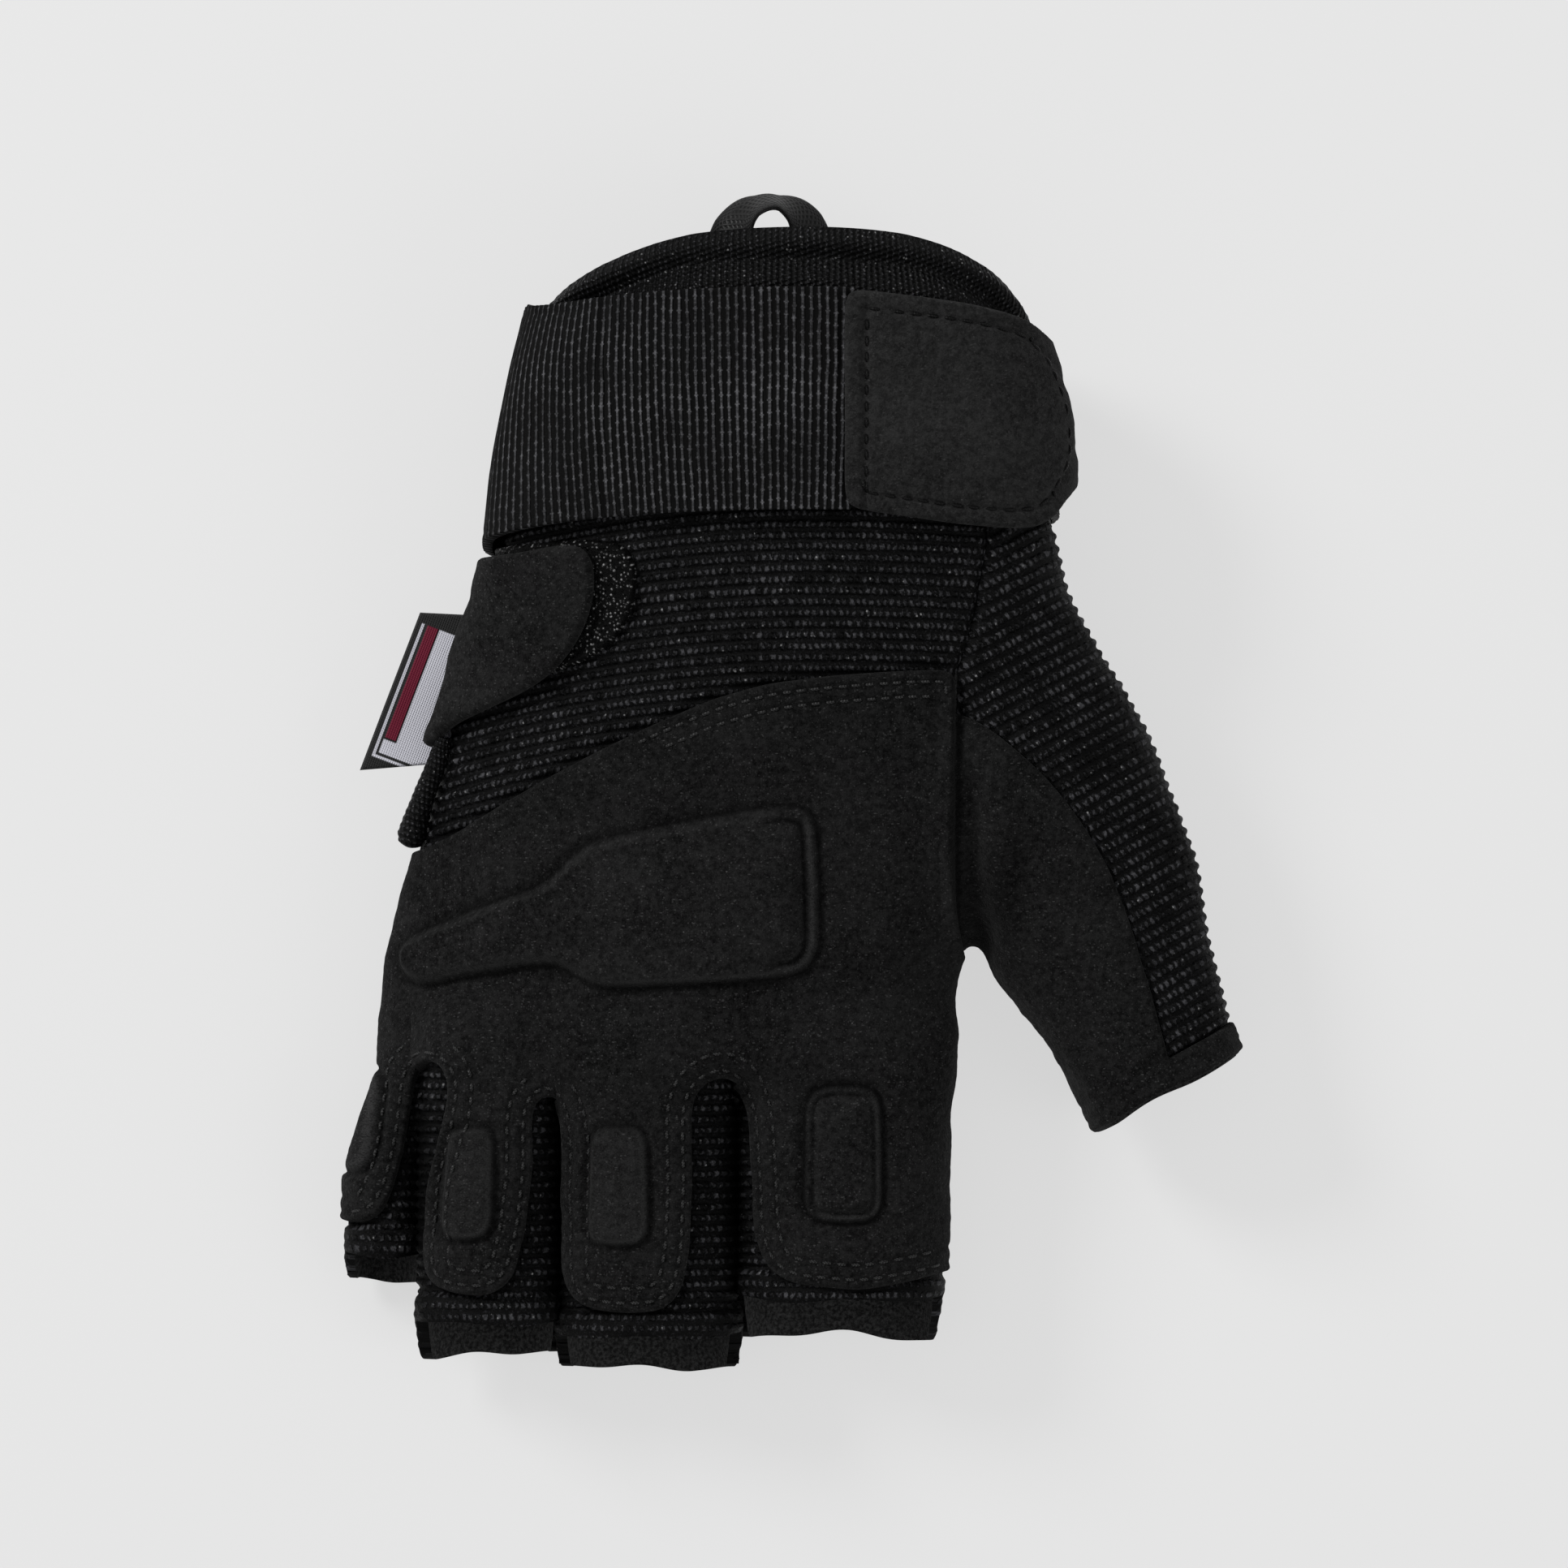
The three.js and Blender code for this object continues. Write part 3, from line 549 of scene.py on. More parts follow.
def strap_high(z):
    return strap_low(z) + 34 + 3.6 * smoothstep(32, 14, z) - 3.6 * smoothstep(12, 4, z)


def cuff_y(R):
    """Where the hand's panels meet the cuff, under the strap."""
    return strap_low(R[:, 2]) + 2.2


def seam_x(y):
    return np.interp(y, SEAM[:, 0], SEAM[:, 1])


def finger_of(R):
    """0 hand or thumb, 1 index, 2 middle, 3 ring, 4 little, by place across the hand."""
    x = R[:, 0]
    return np.where(x > 30.5, 0, np.where(x > -6.7, 1, np.where(x > -34.5, 2, np.where(x > -55.9, 3, 4))))


def finger_at(P):
    """The same, from modelling space, where the fingers stand apart."""
    x, s = P[:, 0], fan(P[:, 1])
    return np.where(x > 30.5, 0, np.where(x > -6.7 + 1.1 * s, 1, np.where(x > -34.5 - 1.1 * s, 2, np.where(x > -55.7 - 4.1 * s, 3, 4))))


NAMES = ["", "index", "middle", "ring", "little"]


def side_height(R):
    """Height of the seam between the palm and the back."""
    x, y = R[:, 0], R[:, 1]
    far = np.interp(x, [-64, -58, -54.5, -44, 10, 27, 31], [5.8, 5.8, 10.8, 10.8, 10.6, 10.6, 9.0])
    w = smoothstep(-34, -50, y)
    return SIDE_Z + w * (far - SIDE_Z)


def thumb_t(R):
    return R[:, 0] * TA[0] + R[:, 1] * TA[1]


def opening(R, back=0.0, fi=None):
    """Positive on the glove's side of the wrist, finger and thumb openings."""
    z = R[:, 2]
    f = np.interp(z, RIM[:, 0], RIM[:, 1]) - R[:, 1] - back
    if fi is None:
        fi = finger_of(R)
    low = R[:, 1] < -50
    for k in range(1, 5):
        m = low & (fi == k)
        if m.any():
            g = FINGER[NAMES[k]]
            e0, e1 = g["end"]
            s = g["seam"]
            x0 = g["x"][1]
            c = e0 + (e1 - e0) * smoothstep(s + 3.4, s - 1.2, z[m])
            under = smoothstep(s + 1, s - 2, z[m])
            c = c + 0.35 * np.sin((R[m, 0] - x0) * 0.33 + k) + under * (0.5 * np.sin((R[m, 0] - x0) * 0.17 + 2.1 * k) + 0.15 * np.sin((R[m, 0] - x0) * 0.5 + k))
            c = c + 0.5 * ((R[m, 0] - x0) / g["a"][1]) ** 2 * (z[m] > s)
            f[m] = R[m, 1] - c - back
    m = (R[:, 0] > 33) & (R[:, 1] < -5)
    if m.any():
        t = thumb_t(R[m])
        f[m] = 67.4 + 1.2 * smoothstep(18, 5, z[m]) + 0.3 * np.sin(R[m, 0] * 0.4) - t - back
    return f


def fan_wrap(f):
    return lambda P: f(real(P))


def f_overlay(R):
    return np.minimum(np.minimum(OVERLAY(R), R[:, 2] - side_height(R) - 0.4), np.where(R[:, 1] > -30, 29.6, 40) - R[:, 0] + 0 * R[:, 1])


def f_palm(R):
    return np.minimum(side_height(R) - R[:, 2], cuff_y(R) - R[:, 1])


def f_knit(R):
    return np.minimum.reduce([R[:, 2] - side_height(R), cuff_y(R) - R[:, 1], seam_x(R[:, 1]) - R[:, 0], 2.6 - OVERLAY(R)])


def f_thumb_knit(R):
    return np.minimum.reduce([R[:, 2] - side_height(R), cuff_y(R) - R[:, 1], R[:, 0] - seam_x(R[:, 1]), -THUMB_SUEDE(R)])


def f_thumb_suede(R):
    return np.minimum.reduce([R[:, 2] - side_height(R), R[:, 0] - seam_x(R[:, 1]), THUMB_SUEDE(R)])


def soft_noise(R, scale, seed, octaves=3):
    r = np.random.default_rng(seed)
    out = np.zeros(len(R))
    for o in range(octaves):
        for _ in range(5):
            d = r.normal(size=3)
            d *= (2 ** o) / scale / np.linalg.norm(d) * 6.283
            out += np.sin(R @ d + r.uniform(0, 6.283)) * (0.55 ** o) / 3.2
    return out


def folds(R):
    """Slack in the cloth that all layers share: gentle undulation and a few creases."""
    h = 0.38 * soft_noise(R, 38, 3) * smoothstep(70, 40, R[:, 1]) * (0.3 + 0.7 * smoothstep(-50, -40, R[:, 1]))
    x, y = R[:, 0], R[:, 1]

    def crease(x0, y0, x1, y1, depth, width, sharp=1.0):
        d = np.array([x1 - x0, y1 - y0], float); L = np.hypot(*d); d /= L
        s = (x - x0) * d[0] + (y - y0) * d[1]
        c = (x - x0) * -d[1] + (y - y0) * d[0]
        fade = smoothstep(-0.25 * L, 0.2 * L, s) * smoothstep(1.25 * L, 0.8 * L, s)
        return -depth * fade * (np.exp(-(c / width) ** 2) - 0.45 * np.exp(-((np.abs(c) - 2.1 * width) / width) ** 2))
    up = (R[:, 2] > 10)
    h = h + up * (crease(31.5, -21, 29.5, 6, 1.7, 2.3) + crease(33, -22, 40, -4, 0.9, 2.6) + crease(37, -20, 47, -8, 0.45, 2.0)
                  + crease(-46, -34, -38, -18, 0.3, 2.4) + crease(-30, -38, -24, -28, 0.3, 2.2) + crease(20, -36, 24, -10, 0.35, 3.0)
                  + crease(-20, 30, 20, 28, 0.25, 2.2) + crease(34, 30, 46, 16, 0.35, 2.0))
    return h


BODY_OF = {"": "hand", "index": "index_finger", "middle": "middle_finger", "ring": "ring_finger", "little": "little_finger"}
SPLIT_Y = {"index": -44.6, "middle": -46.4, "ring": -46.4, "little": -43.0}
THUMB_SPLIT = 37.2   # along the thumb


def owner(R, fi=None):
    """Which body each point's cloth belongs to."""
    out = np.zeros(len(R), int)
    if fi is None:
        fi = finger_of(R)
    for k in range(1, 5):
        out[(fi == k) & (R[:, 1] < SPLIT_Y[NAMES[k]])] = k
    out[(R[:, 0] > 30.5) & (R[:, 1] < 12) & (thumb_t(R) > THUMB_SPLIT)] = 5
    return out


def vertex_normals(V, Q):
    n = face_normals(V, Q)
    out = np.zeros_like(V)
    for k in range(4):
        for c in range(3):
            out[:, c] += np.bincount(Q[:, k], n[:, c], minlength=len(V))
    return out / np.maximum(np.linalg.norm(out, axis=1), 1e-12)[:, None]


def make_object(name, V, faces, mat, normals=None, attrs=None, smooth=True):
    me = bpy.data.meshes.new(name)
    V = np.asarray(V, float) * MM
    if isinstance(faces, np.ndarray):
        nf, k = faces.shape
        me.vertices.add(len(V))
        me.vertices.foreach_set("co", V.astype(np.float32).ravel())
        me.loops.add(nf * k)
        me.loops.foreach_set("vertex_index", faces.astype(np.int32).ravel())
        me.polygons.add(nf)
        me.polygons.foreach_set("loop_start", np.arange(0, nf * k, k, dtype=np.int32))
        me.update(calc_edges=True)
    else:
        me.from_pydata([tuple(v) for v in V], [], [tuple(int(i) for i in f) for f in faces])
    me.validate(clean_customdata=False)
    for key, val in (attrs or {}).items():
        if val.ndim == 1:
            at = me.attributes.new(key, "FLOAT", "POINT")
            at.data.foreach_set("value", val.astype(np.float32))
        else:
            at = me.attributes.new(key, "FLOAT_VECTOR", "POINT")
            at.data.foreach_set("vector", val.astype(np.float32).ravel())
    me.polygons.foreach_set("use_smooth", np.full(len(me.polygons), smooth))
    if normals is not None:
        me.normals_split_custom_set_from_vertices(normals.astype(np.float32))
    me.materials.append(mat)
    ob = bpy.data.objects.new(name, me)
    bpy.context.scene.collection.objects.link(ob)
    return ob


class Panel:
    """A piece of cloth cut out of the form. Its outer face's height over the form is given later, to labelled()."""

    def __init__(self, f, level=0.0, sub=1, relaxing=3, box=None):
        fm = fan_wrap(f)
        fo = lambda P: opening(real(P), fi=finger_at(P))
        V, Q = base(level)
        v = fm(V)
        near = (v[Q] > -2.5).any(1)
        if box is not None:
            R = real(V)
            near &= ((R >= np.array(box[0]) - 3) & (R <= np.array(box[1]) + 3)).all(1)[Q].any(1)
        V, Q = compact(V, Q[near])
        polys = []
        V, Q, polys = cut(V, Q, polys, fm, level)
        V, Q, polys = cut(V, Q, polys, fo, level)
        done = 0
        V, Q = refine(V, Q, polys)
        V, Q = compact(V, Q)
        for k in range(sub):
            if k:
                V, Q = refine(V, Q, [])
            a, b, _ = boundary(Q)
            fixed = np.zeros(len(V), bool)
            fixed[a] = fixed[b] = True
            V = project(V, level, 1)
            V = relax(V, Q, level, fixed, times=relaxing, amount=0.5, snap=False)
            V = project(V, level, 1)
        # bring the border back onto its outline
        ib = np.nonzero(fixed)[0]
        for g in (fm, fo):
            val = g(V[ib])
            m = np.abs(val) < 0.35
            if m.any():
                V[ib[m]] = snap_to(g, V[ib[m]], level, 2)
        self.level, self.V, self.Q = level, V, Q
        self.R = real(V)
        self.N = normals_of(V)
        self.f, self.fm, self.fo = f, fm, fo
        ne = gradient(form, V)
        ne /= np.maximum(np.linalg.norm(ne, axis=1), 1e-6)[:, None]
        d = np.full(len(V), 20.0)
        for g in (fm, fo):
            val = g(V)
            near = val < 6
            if near.any():
                gm = np.linalg.norm(tangent_gradient(g, V[near], ne[near]), axis=1)
                dd = val[near] / np.clip(gm, 0.3, 1.5)
                d[near] = np.minimum(d[near], dd)
        self.d = np.maximum(d, 0)
        self.open = np.maximum(self.fo(V), 0)


def edge_profile(d, r):
    t = np.clip(d / r, 0, 1)
    return np.sqrt(np.maximum(0, 1 - (1 - t) ** 2))


# ------------------------------------------------------------------ materials
class Cloth:
    """Builds one node material. Positions come from the 'rest' attribute, in millimetres, so a weave stays on its cloth."""

    def __init__(self, name, rough=0.9, spec=0.1, sheen=0.0, sheen_rough=0.5, sheen_tint=(1, 1, 1, 1)):
        self.m = bpy.data.materials.new(name)
        self.m.use_nodes = True
        self.t = self.m.node_tree
        self.t.nodes.clear()
        out = self.t.nodes.new("ShaderNodeOutputMaterial")
        self.b = self.t.nodes.new("ShaderNodeBsdfPrincipled")
        self.t.links.new(self.b.outputs[0], out.inputs[0])
        self.b.inputs["Roughness"].default_value = rough
        self.b.inputs["Specular IOR Level"].default_value = spec
        self.b.inputs["Sheen Weight"].default_value = sheen
        self.b.inputs["Sheen Roughness"].default_value = sheen_rough
        self.b.inputs["Sheen Tint"].default_value = sheen_tint

    def put(self, sock, v):
        if isinstance(v, bpy.types.NodeSocket):
            self.t.links.new(v, sock)
        elif v is not None:
            sock.default_value = v

    def math(self, op, a, b=None, c=None, clamp=False):
        n = self.t.nodes.new("ShaderNodeMath")
        n.operation = op
        n.use_clamp = clamp
        for k, v in enumerate((a, b, c)):
            self.put(n.inputs[k], v)
        return n.outputs[0]

    def attr(self, name, out="Vector"):
        n = self.t.nodes.new("ShaderNodeAttribute")
        n.attribute_name = name
        return n.outputs[out]

    def xyz(self, v):
        n = self.t.nodes.new("ShaderNodeSeparateXYZ")
        self.put(n.inputs[0], v)
        return n.outputs

    def vec(self, x, y, z=0.0):
        n = self.t.nodes.new("ShaderNodeCombineXYZ")
        for k, v in enumerate((x, y, z)):
            self.put(n.inputs[k], v)
        return n.outputs[0]

    def noise(self, v, scale, detail=2.0, rough=0.55):
        n = self.t.nodes.new("ShaderNodeTexNoise")
        self.put(n.inputs["Vector"], v)
        n.inputs["Scale"].default_value = scale
        n.inputs["Detail"].default_value = detail
        n.inputs["Roughness"].default_value = rough
        return n.outputs[0]

    def cells(self, v, scale, out="Distance"):
        n = self.t.nodes.new("ShaderNodeTexVoronoi")
        self.put(n.inputs["Vector"], v)
        n.inputs["Scale"].default_value = scale
        return n.outputs[out]

    def fit(self, v, a, b, lo=0.0, hi=1.0, smooth=True):
        n = self.t.nodes.new("ShaderNodeMapRange")
        n.interpolation_type = "SMOOTHSTEP" if smooth else "LINEAR"
        for k, x in zip(("Value", "From Min", "From Max", "To Min", "To Max"), (v, a, b, lo, hi)):
            self.put(n.inputs[k], x)
        return n.outputs[0]

    def mix(self, fac, a, b):
        n = self.t.nodes.new("ShaderNodeMix")
        n.data_type = "RGBA"
        self.put(n.inputs[0], fac)
        for k, v in ((6, a), (7, b)):
            if not isinstance(v, bpy.types.NodeSocket):
                v = (v[0], v[1], v[2], 1) if not isinstance(v, float) else (v, v, v, 1)
            self.put(n.inputs[k], v)
        return n.outputs[2]

    def mul(self, a, b):
        return self.math("MULTIPLY", a, b)

    def add(self, a, b):
        return self.math("ADD", a, b)

    def wave(self, v, freq=1.0, phase=0.0):
        """Cosine of the coordinate, 0 to 1."""
        x = self.math("MULTIPLY_ADD", v, 6.28318 * freq, phase)
        return self.math("MULTIPLY_ADD", self.math("COSINE", x), 0.5, 0.5)

    def bump(self, height, mm=1.0, normal=None):
        n = self.t.nodes.new("ShaderNodeBump")
        n.inputs["Strength"].default_value = 1.0
        n.inputs["Distance"].default_value = mm * MM
        self.put(n.inputs["Height"], height)
        self.put(n.inputs["Normal"], normal)
        return n.outputs[0]

    def colour(self, v):
        self.put(self.b.inputs["Base Color"], v)

    def normal(self, v):
        self.put(self.b.inputs["Normal"], v)

    def roughness(self, v):
        self.put(self.b.inputs["Roughness"], v)


def suede_material(name, dark, light, sheen=0.03, lint=0.10):
    c = Cloth(name, rough=0.97, spec=0.02, sheen=sheen, sheen_rough=0.5)
    p = c.attr("rest")
    nap = c.noise(p, 1.9, 3.0, 0.7)
    fine = c.noise(p, 4.6, 2.0, 0.65)
    wide = c.noise(p, 0.07, 3.0, 0.5)
    mid = c.noise(p, 0.85, 3.0, 0.65)
    grain = c.add(c.mul(c.fit(nap, 0.38, 0.66), 0.6), c.mul(c.fit(fine, 0.38, 0.64), 0.4))
    tone = c.add(c.mul(grain, 0.50), c.add(c.mul(c.fit(wide, 0.32, 0.68), 0.18), c.mul(c.fit(mid, 0.38, 0.64), 0.32)))
    col = c.mix(tone, dark, light)
    # lint: sparse pale specks and short hairs caught in the nap
    spark = None
    for scale, size, share, k, amount in ((0.62, 0.10, 0.88, 0, 0.55), (1.3, 0.26, 0.80, 1, 0.30), (1.9, 0.36, 0.80, 2, 0.22), (2.9, 0.42, 0.78, 0, 0.16)):
        q = p if k != 1 else c.vec(*[c.mul(o, f) for o, f in zip(c.xyz(p), (0.6, 1.5, 1.0))])
        d = c.cells(q, scale)
        pick = c.xyz(c.cells(q, scale, "Color"))[k]
        dot = c.mul(c.mul(c.fit(d, size * 0.35, size, 1.0, 0.0), c.math("GREATER_THAN", pick, share)), amount)
        spark = dot if spark is None else c.math("MAXIMUM", spark, dot)
    # Painted shade and painted highlight from the attribute: the first channel darkens the colour towards near black in
    # grooves and seams, the second lightens the pads' lit edges.
    painted_shade, painted_highlight, _ = c.xyz(c.attr("painted_shade_and_highlight"))
    col = c.mix(painted_shade, c.mix(spark, col, lint), 0.0004)
    c.colour(c.mix(c.mul(painted_highlight, c.fit(fine, 0.30, 0.60, 0.25, 1.0)), col, 0.040))
    h = c.add(c.mul(nap, 0.26), c.mul(fine, 0.18))
    c.normal(c.bump(c.add(h, c.mul(mid, 0.25)), 1.0))
    return c.m


def knit_material(name, base_c=0.0016, thread=0.052, pitch_s=1.05, gloss=0.05, glint=0.20):
    c = Cloth(name, rough=0.6, spec=gloss)
    p = c.attr("rest")
    s, t, w = c.xyz(c.attr("st"))
    wob = c.noise(p, 0.45, 1.0)
    fray = c.noise(p, 1.15, 2.0, 0.6)
    s2 = c.add(s, c.add(c.mul(wob, 0.9), c.mul(fray, 0.9)))
    t = c.add(t, c.mul(c.math("SUBTRACT", c.noise(c.vec(c.mul(s, 0.9), c.mul(t, 0.9), 7.0), 1.0, 2.0), 0.5), 0.50))
    row = c.math("FLOOR", c.add(t, 0.5))
    shift = c.mul(c.math("FRACT", c.mul(row, 0.5)), 2.0)      # every other row is half a loop along
    u = c.add(c.mul(s2, 1.0 / pitch_s), c.mul(shift, 0.5))
    ridge = c.wave(t, 1.0)
    bead = c.wave(u, 1.0)
    loop = c.mul(c.fit(ridge, 0.18, 0.80), c.fit(bead, 0.10, 0.72))
    cell = c.vec(c.math("FLOOR", c.add(u, 0.5)), row, 0.0)
    rnd = c.noise(cell, 3.17, 0.0)
    fuzz = c.noise(p, 2.6, 3.0, 0.75)
    big = c.noise(p, 0.12, 2.0)
    # Painted highlight: the lit loop tops take the bright thread tone, and the sparks below are painted glints of the
    # glint tone.
    lit = c.mul(c.math("MAXIMUM", loop, c.mul(c.fit(fuzz, 0.50, 0.70), 0.30)), c.fit(c.add(c.add(c.mul(rnd, 0.35), c.mul(fuzz, 0.65)), c.mul(big, 0.25)), 0.50, 0.80))
    col = c.mix(lit, base_c, (thread, thread, thread * 1.08))
    d = c.cells(p, 1.3)
    pick = c.xyz(c.cells(p, 1.3, "Color"))[2]
    spark = c.mul(c.fit(d, 0.10, 0.30, 1.0, 0.0), c.mul(c.fit(loop, 0.1, 0.6), c.fit(pick, 0.55, 1.0)))
    # Painted shade from the attribute darkens the knit between the fingers and along the overlay's edge.
    painted_shade, _, _ = c.xyz(c.attr("painted_shade_and_highlight"))
    c.colour(c.mix(painted_shade, c.mix(spark, col, glint), 0.0005))
    h = c.add(c.mul(loop, 0.40), c.mul(fuzz, 0.16))
    c.normal(c.bump(h, 1.0))
    c.roughness(c.fit(fuzz, 0.3, 0.7, 0.45, 0.8))
    return c.m


def webbing_material(name):
    c = Cloth(name, rough=0.65, spec=0.05, sheen=0.02, sheen_rough=0.35)
    p = c.attr("rest")
    s, t, w = c.xyz(c.attr("st"))
    wob = c.noise(c.vec(c.mul(s, 0.45), c.mul(t, 0.16), 0.0), 1.0, 2.0)
    s2 = c.add(s, c.mul(wob, 0.55))
    colf = c.mul(s2, 1 / 1.22)
    colno = c.math("FLOOR", colf)
    off = c.mul(c.math("FRACT", c.mul(c.math("SINE", c.mul(colno, 12.98)), 437.5)), 1.9)
    column = c.wave(c.math("SUBTRACT", colf, 0.5), 1.0)
    thin = c.fit(column, 0.62, 0.96)
    wide = c.fit(column, 0.18, 0.62)
    tick = c.wave(c.add(t, off), 1 / 1.9)
    cross = c.mul(c.fit(tick, 0.90, 1.0), wide)
    fine = c.wave(c.add(t, c.mul(off, 1.7)), 1 / 0.55)
    fuzz = c.noise(p, 2.3, 3.0, 0.75)
    fuzz2 = c.noise(c.vec(c.mul(s2, 1.5), c.mul(t, 0.5), 0.0), 1.0, 2.0)
    big = c.noise(p, 0.10, 2.0)
    line_ = c.mul(thin, c.add(0.35, c.add(c.mul(fine, 0.25), c.mul(c.fit(tick, 0.2, 1.0), 0.55))))
    lit = c.math("MAXIMUM", line_, c.mul(cross, 0.8))
    lit = c.mul(lit, c.fit(c.add(c.add(c.mul(fuzz, 0.50), c.mul(fuzz2, 0.25)), c.mul(big, 0.4)), 0.42, 0.66, 0.12, 1.0))
    col = c.mix(lit, 0.0020, (0.093, 0.093, 0.099))
    c.colour(col)
    h = c.add(c.mul(wide, 0.20), c.add(c.mul(lit, 0.25), c.mul(fuzz, 0.12)))
    c.normal(c.bump(h, 1.0))
    return c.m


def pile_material(name, base_c=0.0018, painted_glint_tone=0.22):
    c = Cloth(name, rough=0.5, spec=0.06)
    p = c.attr("rest")
    d = c.cells(p, 1.9)
    r = c.xyz(c.cells(p, 1.9, "Color"))
    curl = c.fit(d, 0.12, 0.52, 1.0, 0.0)
    # Painted glints: the lit curls take the bright tone given as the last argument.
    lit = c.mul(curl, c.fit(r[0], 0.25, 0.95))
    n = c.noise(p, 3.0, 3.0, 0.75)
    col = c.mix(c.mul(lit, c.fit(n, 0.36, 0.60)), base_c, painted_glint_tone)
    c.colour(col)
    c.normal(c.bump(c.add(c.mul(curl, 0.5), c.mul(n, 0.5)), 1.0))
    return c.m


def cuff_material(name):
    c = Cloth(name, rough=0.45, spec=0.06)
    p = c.attr("rest")
    s, t, w = c.xyz(c.attr("st"))
    rib = c.wave(c.add(s, c.mul(c.noise(p, 0.5, 1.0), 0.35)), 1 / 0.95)
    loop = c.wave(c.add(t, c.mul(c.math("FLOOR", c.mul(s, 1 / 0.95)), 0.31)), 1 / 0.8)
    fuzz = c.noise(p, 3.2, 2.0, 0.7)
    # Painted highlight on the lit rib loops, and painted glints from the sparks.
    lit = c.mul(c.mul(c.fit(rib, 0.3, 0.9), c.fit(loop, 0.2, 0.85)), c.fit(fuzz, 0.44, 0.68))
    d = c.cells(p, 1.5)
    pick = c.xyz(c.cells(p, 1.5, "Color"))[1]
    spark = c.mul(c.fit(d, 0.12, 0.30, 1.0, 0.0), c.math("GREATER_THAN", pick, 0.78))
    col = c.mix(lit, 0.0018, (0.046, 0.046, 0.050))
    c.colour(c.mix(c.mul(spark, c.mul(0.8, c.fit(fuzz, 0.4, 0.6))), col, 0.20))
    c.normal(c.bump(c.add(c.mul(rib, 0.22), c.add(c.mul(loop, 0.12), c.mul(fuzz, 0.14))), 1.0))
    return c.m


def thread_material(name, tone):
    c = Cloth(name, rough=0.45, spec=0.12)
    p = c.attr("rest")
    s, t, w = c.xyz(c.attr("st"))
    twist = c.wave(c.add(c.mul(s, 2.2), c.mul(t, 1.0)), 1.0)
    fuzz = c.noise(p, 4.0, 1.0)
    k = c.mul(c.fit(twist, 0.1, 0.9), c.fit(fuzz, 0.3, 0.7, 0.4, 1.0))
    c.colour(c.mix(k, tone * 0.25, tone * 1.6))
    c.normal(c.bump(twist, 0.06))
    return c.m


def tape_material(name):
    c = Cloth(name, rough=0.4, spec=0.12)
    p = c.attr("rest")
    s, t, w = c.xyz(c.attr("st"))
    a = c.wave(c.add(s, t), 1 / 0.9)
    b = c.wave(c.math("SUBTRACT", s, t), 1 / 0.9)
    k = c.math("MAXIMUM", c.mul(a, 0.8), b)
    n = c.noise(p, 2.5, 2.0)
    c.colour(c.mix(c.mul(c.fit(k, 0.4, 1.0), n), 0.002, 0.020))
    c.normal(c.bump(k, 0.10))
    return c.m


def lining_material(name):
    c = Cloth(name, rough=0.95, spec=0.02, sheen=0.04)
    p = c.attr("rest")
    n = c.noise(p, 1.8, 3.0, 0.7)
    d = c.cells(p, 1.1)
    c.colour(c.mix(c.fit(n, 0.35, 0.68), 0.009, 0.040))
    c.normal(c.bump(c.add(c.mul(n, 0.3), c.mul(d, 0.25)), 1.0))
    return c.m


def label_material(name):
    """Woven label: black ground, white border line and blank white blocks, one crimson stripe. s runs across, t along."""
    c = Cloth(name, rough=0.65, spec=0.2, sheen=0.05)
    p = c.attr("rest")
    s, t, w = c.xyz(c.attr("st"))

    def band(v, a, b, soft=0.10):
        return c.mul(c.fit(v, a - soft, a + soft), c.fit(v, b - soft, b + soft, 1.0, 0.0))
    line = c.math("MAXIMUM", c.mul(band(s, 0.95, 1.40), band(t, 2.8, 25.2)), c.mul(band(s, 0.95, 12.5), band(t, 2.8, 3.25)))
    blocks = c.mul(band(s, 3.9, 12.6), band(t, 3.7, 25.2))
    foot = c.mul(band(s, 1.8, 12.6), band(t, 3.7, 6.0))
    white = c.math("MAXIMUM", line, c.math("MAXIMUM", blocks, foot))
    red = c.mul(band(s, 1.9, 3.7), band(t, 6.3, 25.2))
    weave = c.mul(c.wave(s, 1 / 0.36), c.wave(t, 1 / 0.42))
    tone = c.fit(weave, 0.0, 1.0, 0.82, 1.0)
    col = c.mix(white, 0.012, (0.60, 0.60, 0.66))
    col = c.mix(red, col, (0.135, 0.004, 0.022))
    n = c.t.nodes.new("ShaderNodeMix"); n.data_type = "RGBA"; n.blend_type = "MULTIPLY"; n.inputs[0].default_value = 1.0
    c.put(n.inputs[6], col); c.put(n.inputs[7], c.vec(tone, tone, tone))
    c.colour(n.outputs[2])
    c.normal(c.bump(c.add(c.mul(weave, 0.10), c.add(c.mul(white, 0.12), c.mul(red, 0.18))), 1.0))
    return c.m


SUEDE = suede_material("suede", 0.0006, 0.0165)
SUEDE_PAD = suede_material("suede_pad", 0.0008, 0.0185)
SUEDE_TAB = suede_material("suede_tab", 0.0048, 0.0275, sheen=0.03, lint=0.07)
SUEDE_PALM = suede_material("suede_palm", 0.0030, 0.0140)
KNIT = knit_material("rib_knit")
WEB = webbing_material("elastic_webbing")
PILE = pile_material("loop_pile", 0.0022, 0.42)
HOOK = pile_material("hook_pile", 0.002, 0.05)
CUFF = cuff_material("cuff_knit")
THREAD = thread_material("thread", 0.027)
THREAD_DARK = thread_material("thread_dark", 0.0018)
TAPE = tape_material("loop_tape")
LINING = lining_material("lining")
LABEL_M = label_material("woven_label")



